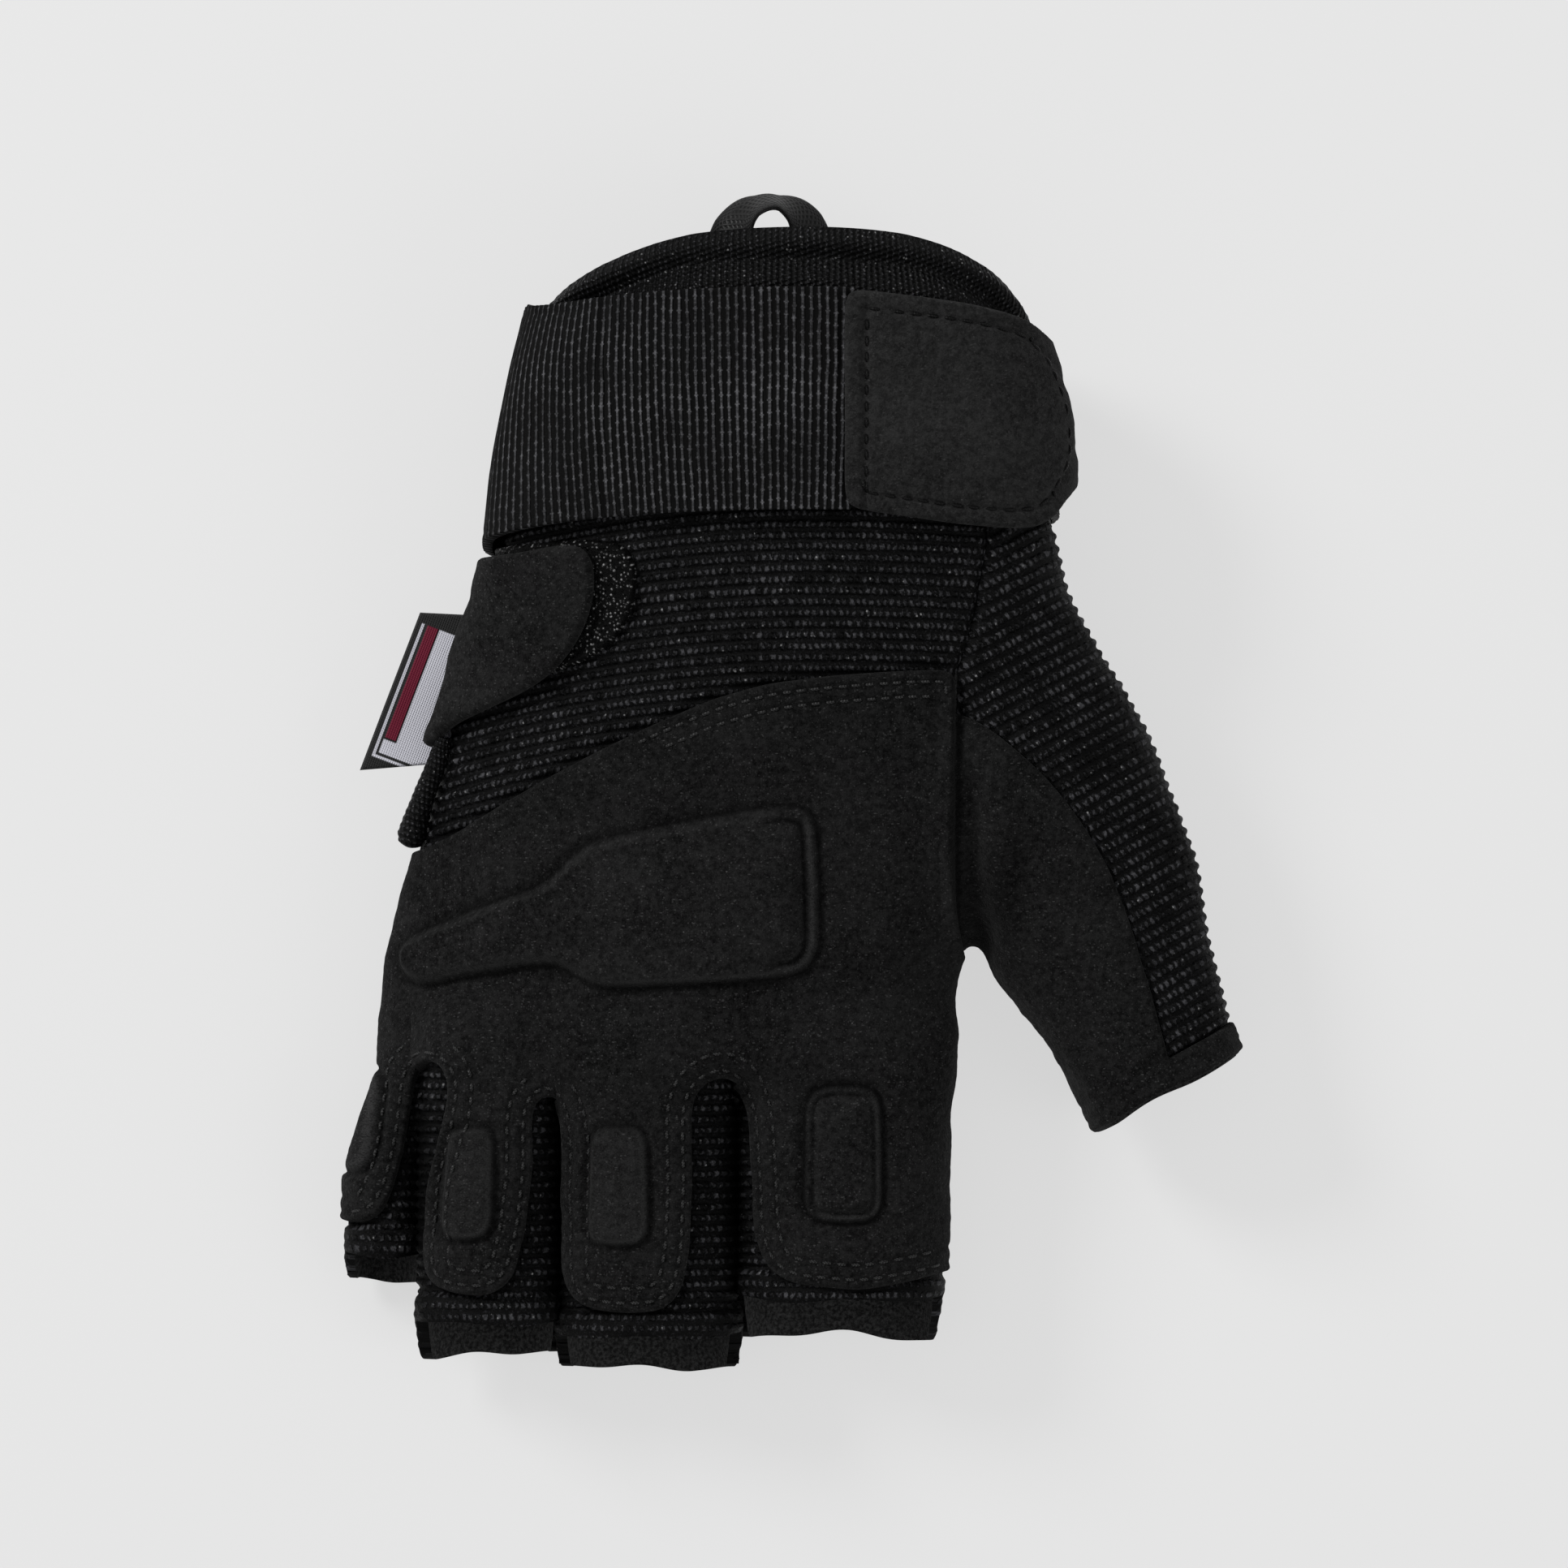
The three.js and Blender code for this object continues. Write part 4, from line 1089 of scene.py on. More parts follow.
# ------------------------------------------------------------------ sewn panels
def labelled(panel, h, mat_of, name_of, extra=None, low=-1.3, attrs=None, closed=False, rim=True):
    """Splits a panel by body and, where extra(R) is not 0, into further pieces; name_of(body, extra) names each."""
    V = panel.R + panel.N * h[:, None]
    Q = panel.Q
    cen = panel.R[Q].mean(1)
    fo = owner(cen, finger_at(panel.V[Q].mean(1)))
    if extra is not None:
        fo = fo + 10 * extra(cen)
    src = np.arange(len(V))
    if rim:
        a, b, fidx = boundary(Q)
        ring = np.unique(np.concatenate([a, b]))
        prev = np.arange(len(V))
        for target in (0.5, 1.0):
            hh = h[ring] + (low - h[ring]) * target
            P = panel.R[ring] + panel.N[ring] * hh[:, None]
            new = np.full(len(panel.R), -1)
            new[ring] = len(V) + np.arange(len(ring))
            V = np.concatenate([V, P])
            src = np.concatenate([src, ring])
            Q = np.concatenate([Q, np.stack([prev[b], prev[a], new[a], new[b]], 1)])
            fo = np.concatenate([fo, fo[fidx]])
            pv = prev
            prev = new
        if closed:
            n0 = len(V)
            inner = np.arange(len(panel.R)) + n0
            inner[ring] = new[ring]
            P = panel.R + panel.N * low
            V = np.concatenate([V, P])
            src = np.concatenate([src, np.arange(len(panel.R))])
            Q = np.concatenate([Q, inner[panel.Q][:, ::-1]])
            fo = np.concatenate([fo, fo[:len(panel.Q)]])
    N = vertex_normals(V, Q)
    arrays = {"rest": panel.R[src] + panel.N[src] * 0.0}
    arrays["rest"] = np.where(np.arange(len(V))[:, None] < len(panel.R), arrays["rest"], arrays["rest"] + 0.37)
    for k, val in (attrs or {}).items():
        arrays[k] = val[src]
    out = {}
    for lab in sorted(set(fo.tolist())):
        q = Q[fo == lab]
        used = np.unique(q)
        bk = np.full(len(V), -1)
        bk[used] = np.arange(len(used))
        body, ex = lab % 10, lab // 10
        out[(body, ex)] = make_object(name_of(body, ex), V[used], bk[q], mat_of(body, ex), N[used], {k: v[used] for k, v in arrays.items()})
    panel.top = panel.R + panel.N * h[:, None]
    panel.h = h
    return out


SHORT = ["hand", "index", "middle", "ring", "little", "thumb"]


def hold(ob, k):
    """Rides a piece of the shell on the hand; a piece of finger or thumb k only has its transform baked."""
    if k == 0:
        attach(ob, "hand")
    elif k == 5:
        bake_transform(ob)
    else:
        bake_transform(ob)


def back_st(R):
    x, y = R[:, 0], R[:, 1]
    g = np.where(x < 5, -0.0024, -0.0011) * (x - 5) ** 2 * smoothstep(-34, -8, y)
    return np.stack([x, (y - g) / 1.72, 0 * x], 1)


def thumb_st(R):
    return np.stack([R[:, 0] * TC[0] + R[:, 1] * TC[1], thumb_t(R) / 1.95 + 0.0009 * (R[:, 0] - 45) ** 2 / 1.95, 0 * R[:, 0]], 1)


def rib(t, amount):
    c = np.cos(2 * np.pi * t)
    return amount * (np.sign(c) * np.abs(c) ** 0.7)


def line(d, at, width, depth):
    return -depth * np.exp(-((d - at) / width) ** 2)


# back overlay, its moulded pads and their edges
ov = Panel(f_overlay, 0.0, 2)
sd = PAD(ov.R)
d_out = np.minimum(np.maximum(OVERLAY(ov.R), 0), np.maximum(ov.open + 0.0, 0) + 0.0)
h = folds(ov.R) + 1.15 * edge_profile(ov.d, 0.85)
wide_rim = smoothstep(-4, 2, ov.R[:, 0])
h += wide_rim * (0.75 * smoothstep(-0.55, 0.25, sd) + 1.25 * smoothstep(1.8, 3.9, sd) + line(sd, 1.65, 0.45, 0.42))
h += (1 - wide_rim) * (2.1 * smoothstep(-0.6, 1.3, sd) + 0.22 * np.exp(-((sd - 1.2) / 0.5) ** 2)) + 0.45 * smoothstep(2.5, 10.0, sd)
h += line(sd, -1.2, 0.6, 0.42)
fp = np.full(len(ov.R), -50.0)
for F in FPADS:
    fp = np.maximum(fp, F(ov.R))
grooved = smoothstep(-8, -4, ov.R[:, 0])
h += grooved * (0.60 * smoothstep(-0.5, 0.2, fp) + 1.05 * smoothstep(1.0, 2.2, fp) + line(fp, 0.95, 0.38, 0.55))
outer = 1 - 0.85 * smoothstep(-60, -63, ov.R[:, 0]) * smoothstep(0.55, 0.10, ov.N[:, 2])
h += (1 - grooved) * outer * ((1.3 + 0.4 * smoothstep(-60, -56, ov.R[:, 0])) * smoothstep(-0.5, 0.9, fp)) + 0.3 * smoothstep(2.0, 4.5, fp) + line(fp, -1.0, 0.55, 0.55)
do = OVERLAY(ov.R)
seam_ok = smoothstep(-38, -42, ov.R[:, 1]) + smoothstep(-19, -15, ov.R[:, 0]) * smoothstep(28, 25.5, ov.R[:, 0]) * smoothstep(12, 14, ov.R[:, 1])
h += (line(do, 1.6, 0.5, 0.20) + line(do, 3.9, 0.5, 0.20)) * np.clip(seam_ok, 0, 1)
by_thumb = smoothstep(20, 24, ov.R[:, 0]) * smoothstep(-24, -20, ov.R[:, 1])
h += by_thumb * (0.40 * np.exp(-((do - 1.0) / 0.7) ** 2) - 0.30 * np.exp(-((do - 2.9) / 0.6) ** 2))
h += 0.05 * soft_noise(ov.R, 2.6, 8, 2) + 0.12 * soft_noise(ov.R, 9, 5, 2)


def bell(d, at, width):
    return np.exp(-((d - at) / width) ** 2)


def lit_side(F, R):
    """How far an outline's edge here faces the thumb side and the fingertips, where the pads get a painted highlight.
    """
    ex = (F(R + [0.3, 0, 0]) - F(R - [0.3, 0, 0])) / 0.6
    ey = (F(R + [0, 0.3, 0]) - F(R - [0, 0.3, 0])) / 0.6
    return np.clip(-0.8 * ex + 0.6 * ey, 0, 1) ** 0.6


fingers_f = lambda R: np.maximum.reduce([F(R) for F in FPADS])
# Painted shade: the colour is darkened in the grooves round the pads, along the stitch lines and at the overlay's
# edges, where shade falls.
painted_shade = np.maximum.reduce([0.70 * bell(sd, -0.75, 0.5), 0.65 * wide_rim * bell(sd, 1.6, 0.5), (0.60 + 0.32 * grooved) * bell(fp, -0.6, 0.45),
                            0.85 * by_thumb * bell(do, 0.15, 0.55), 0.30 * bell(do, 1.6, 0.45) * np.clip(seam_ok, 0, 1),
                            0.30 * bell(do, 3.9, 0.45) * np.clip(seam_ok, 0, 1), 0.35 * bell(do, 0.0, 0.4)])
# Painted highlight on the pads' edges that face the thumb side and the fingertips, and faintly on the tops of the
# middle, ring and little-finger pads.
painted_highlight = np.maximum(0.50 * bell(sd, 0.55, 0.5) * lit_side(PAD, ov.R), (0.75 - 0.30 * grooved) * bell(fp, 0.35, 0.42) * lit_side(fingers_f, ov.R))
painted_highlight = np.maximum(painted_highlight, 0.13 * (1 - grooved) * smoothstep(0.4, 1.2, fp))
painted_shade_and_highlight = np.stack([np.clip(painted_shade, 0, 1), np.clip(painted_highlight, 0, 1), 0 * painted_shade], 1)
pad_of = lambda R: np.where(PAD(R) > -0.55, 1, 0) + np.where(np.maximum.reduce([F(R) for F in FPADS]) > -0.55, 2, 0)


def ov_name(b, e):
    if e == 0:
        return SHORT[b] + "_overlay"
    return "knuckle_pad_moulded" if e == 1 else SHORT[b] + ("_finger_pad" if b else "_finger_pad_root")


parts = labelled(ov, h, lambda b, e: SUEDE_PAD if e else SUEDE, ov_name, extra=pad_of, low=-0.9, attrs={"painted_shade_and_highlight": painted_shade_and_highlight})
for (b, e), ob in parts.items():
    hold(ob, b)
    if e == 0:
        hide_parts("back_overlay" if b == 0 else SHORT[b] + "_stall_overlay")
    elif e == 1 and b == 0:
        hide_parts("knuckle_pad")
    elif b:
        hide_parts(SHORT[b] + "_knuckle_pad")

# rib knit of the back and the finger stalls
kn = Panel(f_knit, 0.0, 2)
st = back_st(kn.R)
dov = -OVERLAY(kn.R)
hem = smoothstep(4.4, 3.5, kn.open) * (kn.R[:, 1] < -50)
h = folds(kn.R) + rib(st[:, 1], 0.25) * smoothstep(0.0, 1.2, kn.d) * (1 - 0.75 * hem) - 0.15
h += 0.55 * hem + line(kn.open, 4.6, 0.5, 0.4) * (kn.R[:, 1] < -50)
h += -0.45 * smoothstep(1.6, 0.2, dov) - 0.7 * smoothstep(1.6, 0.0, np.abs(seam_x(kn.R[:, 1]) - kn.R[:, 0])) * (kn.R[:, 1] > -26)
h += -0.35 * smoothstep(0.9, 0.0, kn.d)
h += 0.10 * soft_noise(kn.R, 6, 21, 2)
between = lambda p: smoothstep(0.8, 0.4, np.abs(p.N[:, 2])) * smoothstep(-45, -48, p.R[:, 1]) * (p.R[:, 0] > -60) * (p.R[:, 0] < 5)
h += 0.45 * between(kn)
gap = np.minimum.reduce([np.abs(kn.R[:, 0] - b) for b in (-6.9, -34.6, -56.4)])
# Painted shade: the knit is darkened between the fingers and just outside the overlay's edge.
painted_gap_shade = np.maximum(0.90 * smoothstep(3.6, 0.6, gap) * smoothstep(-44, -49, kn.R[:, 1]), 0.92 * between(kn))
painted_gap_shade = np.maximum(painted_gap_shade, 0.55 * bell(np.maximum(dov, 0), 0.0, 0.9))
parts = labelled(kn, h, lambda b, e: KNIT, lambda b, e: SHORT[b] + "_knit", attrs={"st": st, "painted_shade_and_highlight": np.stack([painted_gap_shade, 0 * painted_gap_shade, 0 * painted_gap_shade], 1)})
for (b, e), ob in parts.items():
    hold(ob, b)
    if b == 0:
        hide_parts("back_knit_panel", "web_index_middle", "web_middle_ring")
    else:
        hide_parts(SHORT[b] + "_stall_knit")

# thumb: knit outside, suede over the crotch and round the open end
tk = Panel(lambda R: np.minimum(f_thumb_knit(R), np.where(R[:, 0] > 40, 62.9 - thumb_t(R), 5)), 0.0, 2)
st = thumb_st(tk.R)
h = folds(tk.R) + rib(st[:, 1], 0.25) * smoothstep(0.0, 1.2, tk.d) - 0.15 - 0.4 * smoothstep(1.0, 0, tk.d) + 0.1 * soft_noise(tk.R, 6, 22, 2)
h += -0.5 * smoothstep(1.8, 0.0, np.abs(seam_x(tk.R[:, 1]) - tk.R[:, 0]))
parts = labelled(tk, h, lambda b, e: KNIT, lambda b, e: "thumb_base_knit_cloth" if b == 0 else "thumb_knit_cloth", attrs={"st": st})
for (b, e), ob in parts.items():
    hold(ob, b)
    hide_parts("thumb_base_knit" if b == 0 else "thumb_stall_knit")

ts = Panel(lambda R: np.minimum(np.minimum(R[:, 2] - side_height(R), R[:, 0] - seam_x(R[:, 1]) + 1.4),
                                np.maximum(THUMB_SUEDE(R), np.where(R[:, 0] > 40, thumb_t(R) - 62.9, -5))), 0.0, 2)
near_seam = smoothstep(2.4, 0.6, ts.R[:, 0] - seam_x(ts.R[:, 1]))
h = folds(ts.R) + 0.75 * np.maximum(edge_profile(ts.d, 0.9), near_seam) + line(ts.d, 1.7, 0.5, 0.14) * (1 - near_seam) + line(ts.open, 4.2, 0.5, 0.2)
h += 0.06 * soft_noise(ts.R, 2.6, 9, 2) + 0.22 * soft_noise(ts.R, 9, 6, 2) - 0.7 * np.exp(-((ts.R[:, 0] - np.maximum(seam_x(ts.R[:, 1]), 27.5) - 0.2) / 0.9) ** 2) * (ts.R[:, 1] > -23)
# Painted shade on the thumb suede: a dark line under the overlay's edge, a dark pool in the thumb crotch and darkening
# along the suede's borders.
shade = np.maximum(0.75 * bell(ts.R[:, 0], np.maximum(seam_x(ts.R[:, 1]), 27.5) + 0.1, 0.7) * (ts.R[:, 1] > -23),
                   0.45 * smoothstep(8.5, 1.5, np.hypot((ts.R[:, 0] - 33) / 1.0, (ts.R[:, 1] + 16) / 1.9)))
shade = np.maximum(shade, 0.45 * bell(ts.d, 0.0, 0.5))
parts = labelled(ts, h, lambda b, e: SUEDE, lambda b, e: "thumb_base_suede_cloth" if b == 0 else "thumb_suede_cloth", low=-1.3,
                 attrs={"painted_shade_and_highlight": np.stack([shade, 0 * shade, 0 * shade], 1)})
for (b, e), ob in parts.items():
    hold(ob, b)
    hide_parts("thumb_base_suede" if b == 0 else "thumb_stall_suede")

# palm side
pm = Panel(f_palm, 0.0, 1)
h = 0.35 * edge_profile(pm.d, 0.9) + 0.25 * soft_noise(pm.R, 16, 31, 3) * smoothstep(0.5, 5, pm.d) + line(pm.open, 3.6, 0.6, 0.25)
h = np.minimum(h, (pm.R[:, 2] - 0.35) / np.maximum(-pm.N[:, 2], 0.25) * np.where(pm.N[:, 2] < -0.2, 1, 50))
h += 0.40 * between(pm)
parts = labelled(pm, h, lambda b, e: SUEDE_PALM, lambda b, e: SHORT[b] + "_palm")
for (b, e), ob in parts.items():
    hold(ob, b)
    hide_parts("palm_panel" if b == 0 else ("thumb_stall_palm" if b == 5 else SHORT[b] + "_stall_palm"))
PATCHES = {"palm_grip_patch": [[-50, -8], [-44, -30], [-34, -36], [10, -36], [20, -28], [22, -10], [20, 4], [10, 8], [-42, 8], [-48, 4]],
           "palm_heel_patch": [[-42, 11], [14, 11], [22, 14], [24, 24], [20, 34], [10, 38], [-28, 38], [-38, 33], [-43, 22]]}
patch_lines = {}
for name, pts in PATCHES.items():
    O = Outline(pts, r=2.5)
    pp = Panel(lambda R: np.minimum(O(R), 6 - R[:, 2]), 0.0, 2)
    want = (pp.R[:, 2] - 0.05) / np.maximum(-pp.N[:, 2], 0.6)
    dd = O(pp.R)
    h = want * edge_profile(dd, 0.9) + line(dd, 1.8, 0.45, 0.16) * -1 * 0 - 0.16 * np.exp(-((dd - 2.0) / 0.45) ** 2)
    h = np.minimum(h, want)
    parts = labelled(pp, h, lambda b, e: SUEDE_PALM, lambda b, e: name + "_cloth", low=0.0)
    patch_lines[name] = (O, pp)
    for (b, e), ob in parts.items():
        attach(ob, "hand")
        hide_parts(name)

# cuff and its rolled binding
def wrist_s(R):
    """Length round the wrist, from an unrolled section."""
    ang = np.linspace(-np.pi, np.pi, 721)
    P = np.stack([0.5 + 60 * np.cos(ang), np.full(721, 60.0), 22 + 60 * np.sin(ang)], 1)
    if "s" not in _grid:
        lo, hi = np.zeros(721), np.ones(721)
        c = np.array([0.5, 60.0, 22.0])
        for _ in range(22):
            m = (lo + hi) / 2
            inside = form(c + (P - c) * m[:, None]) < 0
            lo, hi = np.where(inside, m, lo), np.where(inside, hi, m)
        q = c + (P - c) * lo[:, None]
        _grid["s"] = np.concatenate([[0], np.cumsum(np.linalg.norm(np.diff(q, axis=0), axis=1))])
    a = np.arctan2(R[:, 2] - 22, R[:, 0] - 0.5)
    return np.interp(a, ang, _grid["s"])


cf = Panel(lambda R: R[:, 1] - cuff_y(R), 0.0, 1)
st = np.stack([wrist_s(cf.R), cf.R[:, 1], 0 * cf.R[:, 0]], 1)
up = smoothstep(8, 20, cf.R[:, 2])
h = 1.25 * np.exp(-((cf.open - 2.2) / 1.7) ** 2) + line(cf.open, 5.0, 0.8, 0.5)
h += (0.8 * np.exp(-((cf.open - 9.0) / 2.7) ** 2) + 0.08 * soft_noise(cf.R, 5, 42, 2)) * up + line(cf.open, 13.0, 1.0, 0.6) * up
h += 0.45 * soft_noise(cf.R, 22, 41, 2) * smoothstep(0, 6, cf.open) + 0.06 * np.cos(2 * np.pi * st[:, 0] / 1.9) * up
h -= 0.5 * smoothstep(4.0, 0.0, cf.R[:, 1] - cuff_y(cf.R))
parts = labelled(cf, h, lambda b, e: CUFF, lambda b, e: "cuff_rolled_binding" if e else "cuff_cloth",
                 extra=lambda R: (opening(R) < 4.9).astype(int), low=-1.3, attrs={"st": st})
for (b, e), ob in parts.items():
    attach(ob, "hand")
    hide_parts("cuff_binding" if e else "cuff_sleeve")


# lining, seen through the openings
ln = Panel(lambda R: np.full(len(R), 9.0), 0.0, 1)
V = ln.R - ln.N * 1.3
fo = owner(ln.R[ln.Q].mean(1), finger_at(ln.V[ln.Q].mean(1)))
for k in sorted(set(fo.tolist())):
    q = ln.Q[fo == k][:, ::-1]
    used = np.unique(q)
    bk = np.full(len(V), -1)
    bk[used] = np.arange(len(used))
    ob = make_object(SHORT[k] + "_lining", V[used], bk[q], LINING, -ln.N[used], {"rest": ln.R[used]})
    hold(ob, k)


# ------------------------------------------------------------------ closures and strap
def raised(outline, height):
    """The outline read at a given height over the form."""
    lo, hi = outline.poly.min(0) - 8, outline.poly.max(0) + 8

    def f(R):
        out = np.full(len(R), -9.0)
        m = (R[:, 0] > lo[0]) & (R[:, 0] < hi[0]) & (R[:, 1] > lo[1]) & (R[:, 1] < hi[1])
        if m.any():
            g = gradient(form, R[m])
            g /= np.maximum(np.linalg.norm(g, axis=1), 1e-6)[:, None]
            out[m] = outline(R[m] + g * height)
        return out
    return f


def f_strap(R):
    """The webbing's band round the wrist, from the palm round the little-finger side to the top."""
    y = R[:, 1]
    lowside = strap_low(R[:, 2])
    along = np.where(R[:, 2] > 22, 11.6 - R[:, 0], -8.0 - R[:, 0])
    return np.minimum.reduce([y - lowside, strap_high(R[:, 2]) - y, along])


wb = Panel(f_strap, 0.0, 2)
st = np.stack([wrist_s(wb.R), wb.R[:, 1] - strap_low(wb.R[:, 2]), 0 * wb.R[:, 0]], 1)
edge = np.minimum(st[:, 1], strap_high(wb.R[:, 2]) - wb.R[:, 1])
h = 3.25 + 0.10 * np.cos(2 * np.pi * st[:, 0] / 1.22) + 0.25 * soft_noise(wb.R, 26, 51, 2)
h += line(edge, 1.4, 0.5, 0.10) + 0.12 * edge_profile(edge, 0.8) - 0.12
h += line(wb.R[:, 0], -26.0, 0.6, 0.35) * (wb.R[:, 2] > 25)
h -= 0.5 * smoothstep(7.5, 11.5, wb.R[:, 0]) * (wb.R[:, 2] > 22)
parts = labelled(wb, h, lambda b, e: WEB, lambda b, e: "strap_anchor_webbing" if e else "strap_webbing_band",
                 extra=lambda R: (R[:, 2] < 12.8).astype(int), low=1.75, attrs={"st": st}, closed=True)
for (b, e), ob in parts.items():
    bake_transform(ob)
    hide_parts("strap_anchor" if e else "strap_webbing")

STRAP_TAB = Outline([[10.2, 81.2], [17.8, 80.4], [30.6, 78.9], [38.9, 77.0], [44.6, 72.6], [49.5, 65.0], [49.5, 56.1], [46.2, 49.7],
                     [42.0, 44.6], [36.9, 44.0], [28.0, 44.6], [19.1, 45.9], [10.2, 47.1]], r=1.6)
f_tab = raised(STRAP_TAB, 3.8)
tb = Panel(lambda R: np.minimum(f_tab(R), R[:, 2] - 17), 0.0, 2)
dt = np.maximum(f_tab(tb.R), 0)
far = smoothstep(30, 47, tb.R[:, 0])
h = 3.1 + 0.95 * edge_profile(tb.d, 0.9) + line(dt, 2.8, 0.5, 0.40) + line(tb.R[:, 0], 13.3, 0.5, 0.40)
h += 0.16 * soft_noise(tb.R, 13, 61, 2) + 0.04 * soft_noise(tb.R, 2.5, 62, 2) + 0.35 * smoothstep(16, 9, tb.R[:, 0])
parts = labelled(tb, h, lambda b, e: SUEDE_TAB, lambda b, e: "strap_tab_suede", low=3.0, closed=True)
for (b, e), ob in parts.items():
    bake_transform(ob)
    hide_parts("strap_tab")
HOOKO = Outline([[13.5, 77.0], [30, 75.0], [37.5, 73.2], [42.5, 69], [44, 63], [43.5, 56.5], [40, 49.5], [36, 47.6], [28, 48.0], [13.5, 50.2]], r=1.5)
f_hook = raised(HOOKO, 2.2)
hk = Panel(lambda R: np.minimum(f_hook(R), R[:, 2] - 20), 0.0, 1)
h = 2.85 * np.ones(len(hk.R))
for (b, e), ob in labelled(hk, h, lambda b, e: HOOK, lambda b, e: "strap_tab_hook_pile", low=1.75, closed=True).items():
    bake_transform(ob)
    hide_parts("strap_tab_hook")
lp = Panel(lambda R: np.minimum.reduce([R[:, 1] - (43.6 + 0.086 * (R[:, 2] + 10) - 0.6), 71 + 0.086 * (R[:, 2] + 10) - R[:, 1], R[:, 0] - 12, R[:, 2] - 12]), 0.0, 2)
h = 1.15 * edge_profile(lp.d, 0.8) + 0.16 * soft_noise(lp.R, 1.6, 71, 3)
for (b, e), ob in labelled(lp, h, lambda b, e: PILE, lambda b, e: "strap_loop_pile", low=0.0).items():
    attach(ob, "hand")
    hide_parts("strap_loop_patch")

# little-finger side closure
TAB_O = Outline([[-51.0, 39.5], [-40.8, 40.4], [-33.8, 41.7], [-30.6, 40.8], [-29.2, 37.6], [-29.4, 32.5], [-31.6, 26.8], [-35.7, 21.7],
                 [-40.8, 18.5], [-47.1, 15.9], [-52.9, 13.4], [-55.7, 10.2], [-66, 5.4], [-66, 39.5]], r=1.8)
f_ct = raised(TAB_O, 3.4)
ct = Panel(lambda R: np.minimum(f_ct(R), R[:, 2] - 7.5), 0.0, 2)
h = 2.7 + 1.0 * edge_profile(ct.d, 0.9) + 0.28 * soft_noise(ct.R, 12, 81, 2) + 0.04 * soft_noise(ct.R, 2.5, 82, 2)
h -= 2.0 * smoothstep(14.5, 8, ct.R[:, 2])
for (b, e), ob in labelled(ct, h, lambda b, e: SUEDE, lambda b, e: "closure_tab_suede", low=1.9, closed=True).items():
    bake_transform(ob)
    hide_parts("closure_tab")
CH = Outline([[-44, 38], [-34, 39], [-31.6, 37.2], [-31.6, 32.9], [-34, 27.8], [-37.2, 24.2], [-44, 20.5]], r=1.2)
f_ch = raised(CH, 1.8)
ch = Panel(lambda R: np.minimum(f_ch(R), R[:, 2] - 12), 0.0, 1)
for (b, e), ob in labelled(ch, np.full(len(ch.R), 1.9), lambda b, e: HOOK, lambda b, e: "closure_tab_hook_pile", low=1.5, closed=True).items():
    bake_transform(ob)
    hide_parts("closure_tab_hook")
CL = Outline([[-45.9, 41.6], [-33.1, 42.2], [-28.0, 42.4], [-24.2, 41.4], [-22.3, 38.2], [-22.5, 33.1], [-24.5, 28.0], [-28.0, 24.7],
              [-33.1, 22.4], [-45.9, 19.1]], r=1.4)
cl = Panel(lambda R: np.minimum(raised(CL, 0.8)(R), R[:, 2] - 12), 0.0, 2)
h = 1.0 * edge_profile(cl.d, 0.7) + 0.18 * soft_noise(cl.R, 1.6, 91, 3) * smoothstep(0.8, 1.8, cl.d) + 0.25 * np.exp(-((cl.d - 0.7) / 0.5) ** 2)
for (b, e), ob in labelled(cl, h, lambda b, e: PILE, lambda b, e: "closure_loop_pile", low=0.0).items():
    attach(ob, "hand")
    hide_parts("closure_loop_patch")


# ------------------------------------------------------------------ swept pieces
def spline(points, n):
    p = np.array(points, float)
    d = np.concatenate([[0], np.cumsum(np.linalg.norm(np.diff(p, axis=0), axis=1))])
    m = np.gradient(p, d, axis=0)
    q = np.linspace(0, d[-1], n)
    i = np.clip(np.searchsorted(d, q) - 1, 0, len(p) - 2)
    h_ = (d[i + 1] - d[i])[:, None]
    t = ((q - d[i])[:, None]) / h_
    return ((2 * t ** 3 - 3 * t ** 2 + 1) * p[i] + (t ** 3 - 2 * t ** 2 + t) * m[i] * h_ + (3 * t ** 2 - 2 * t ** 3) * p[i + 1] + (t ** 3 - t ** 2) * m[i + 1] * h_), q


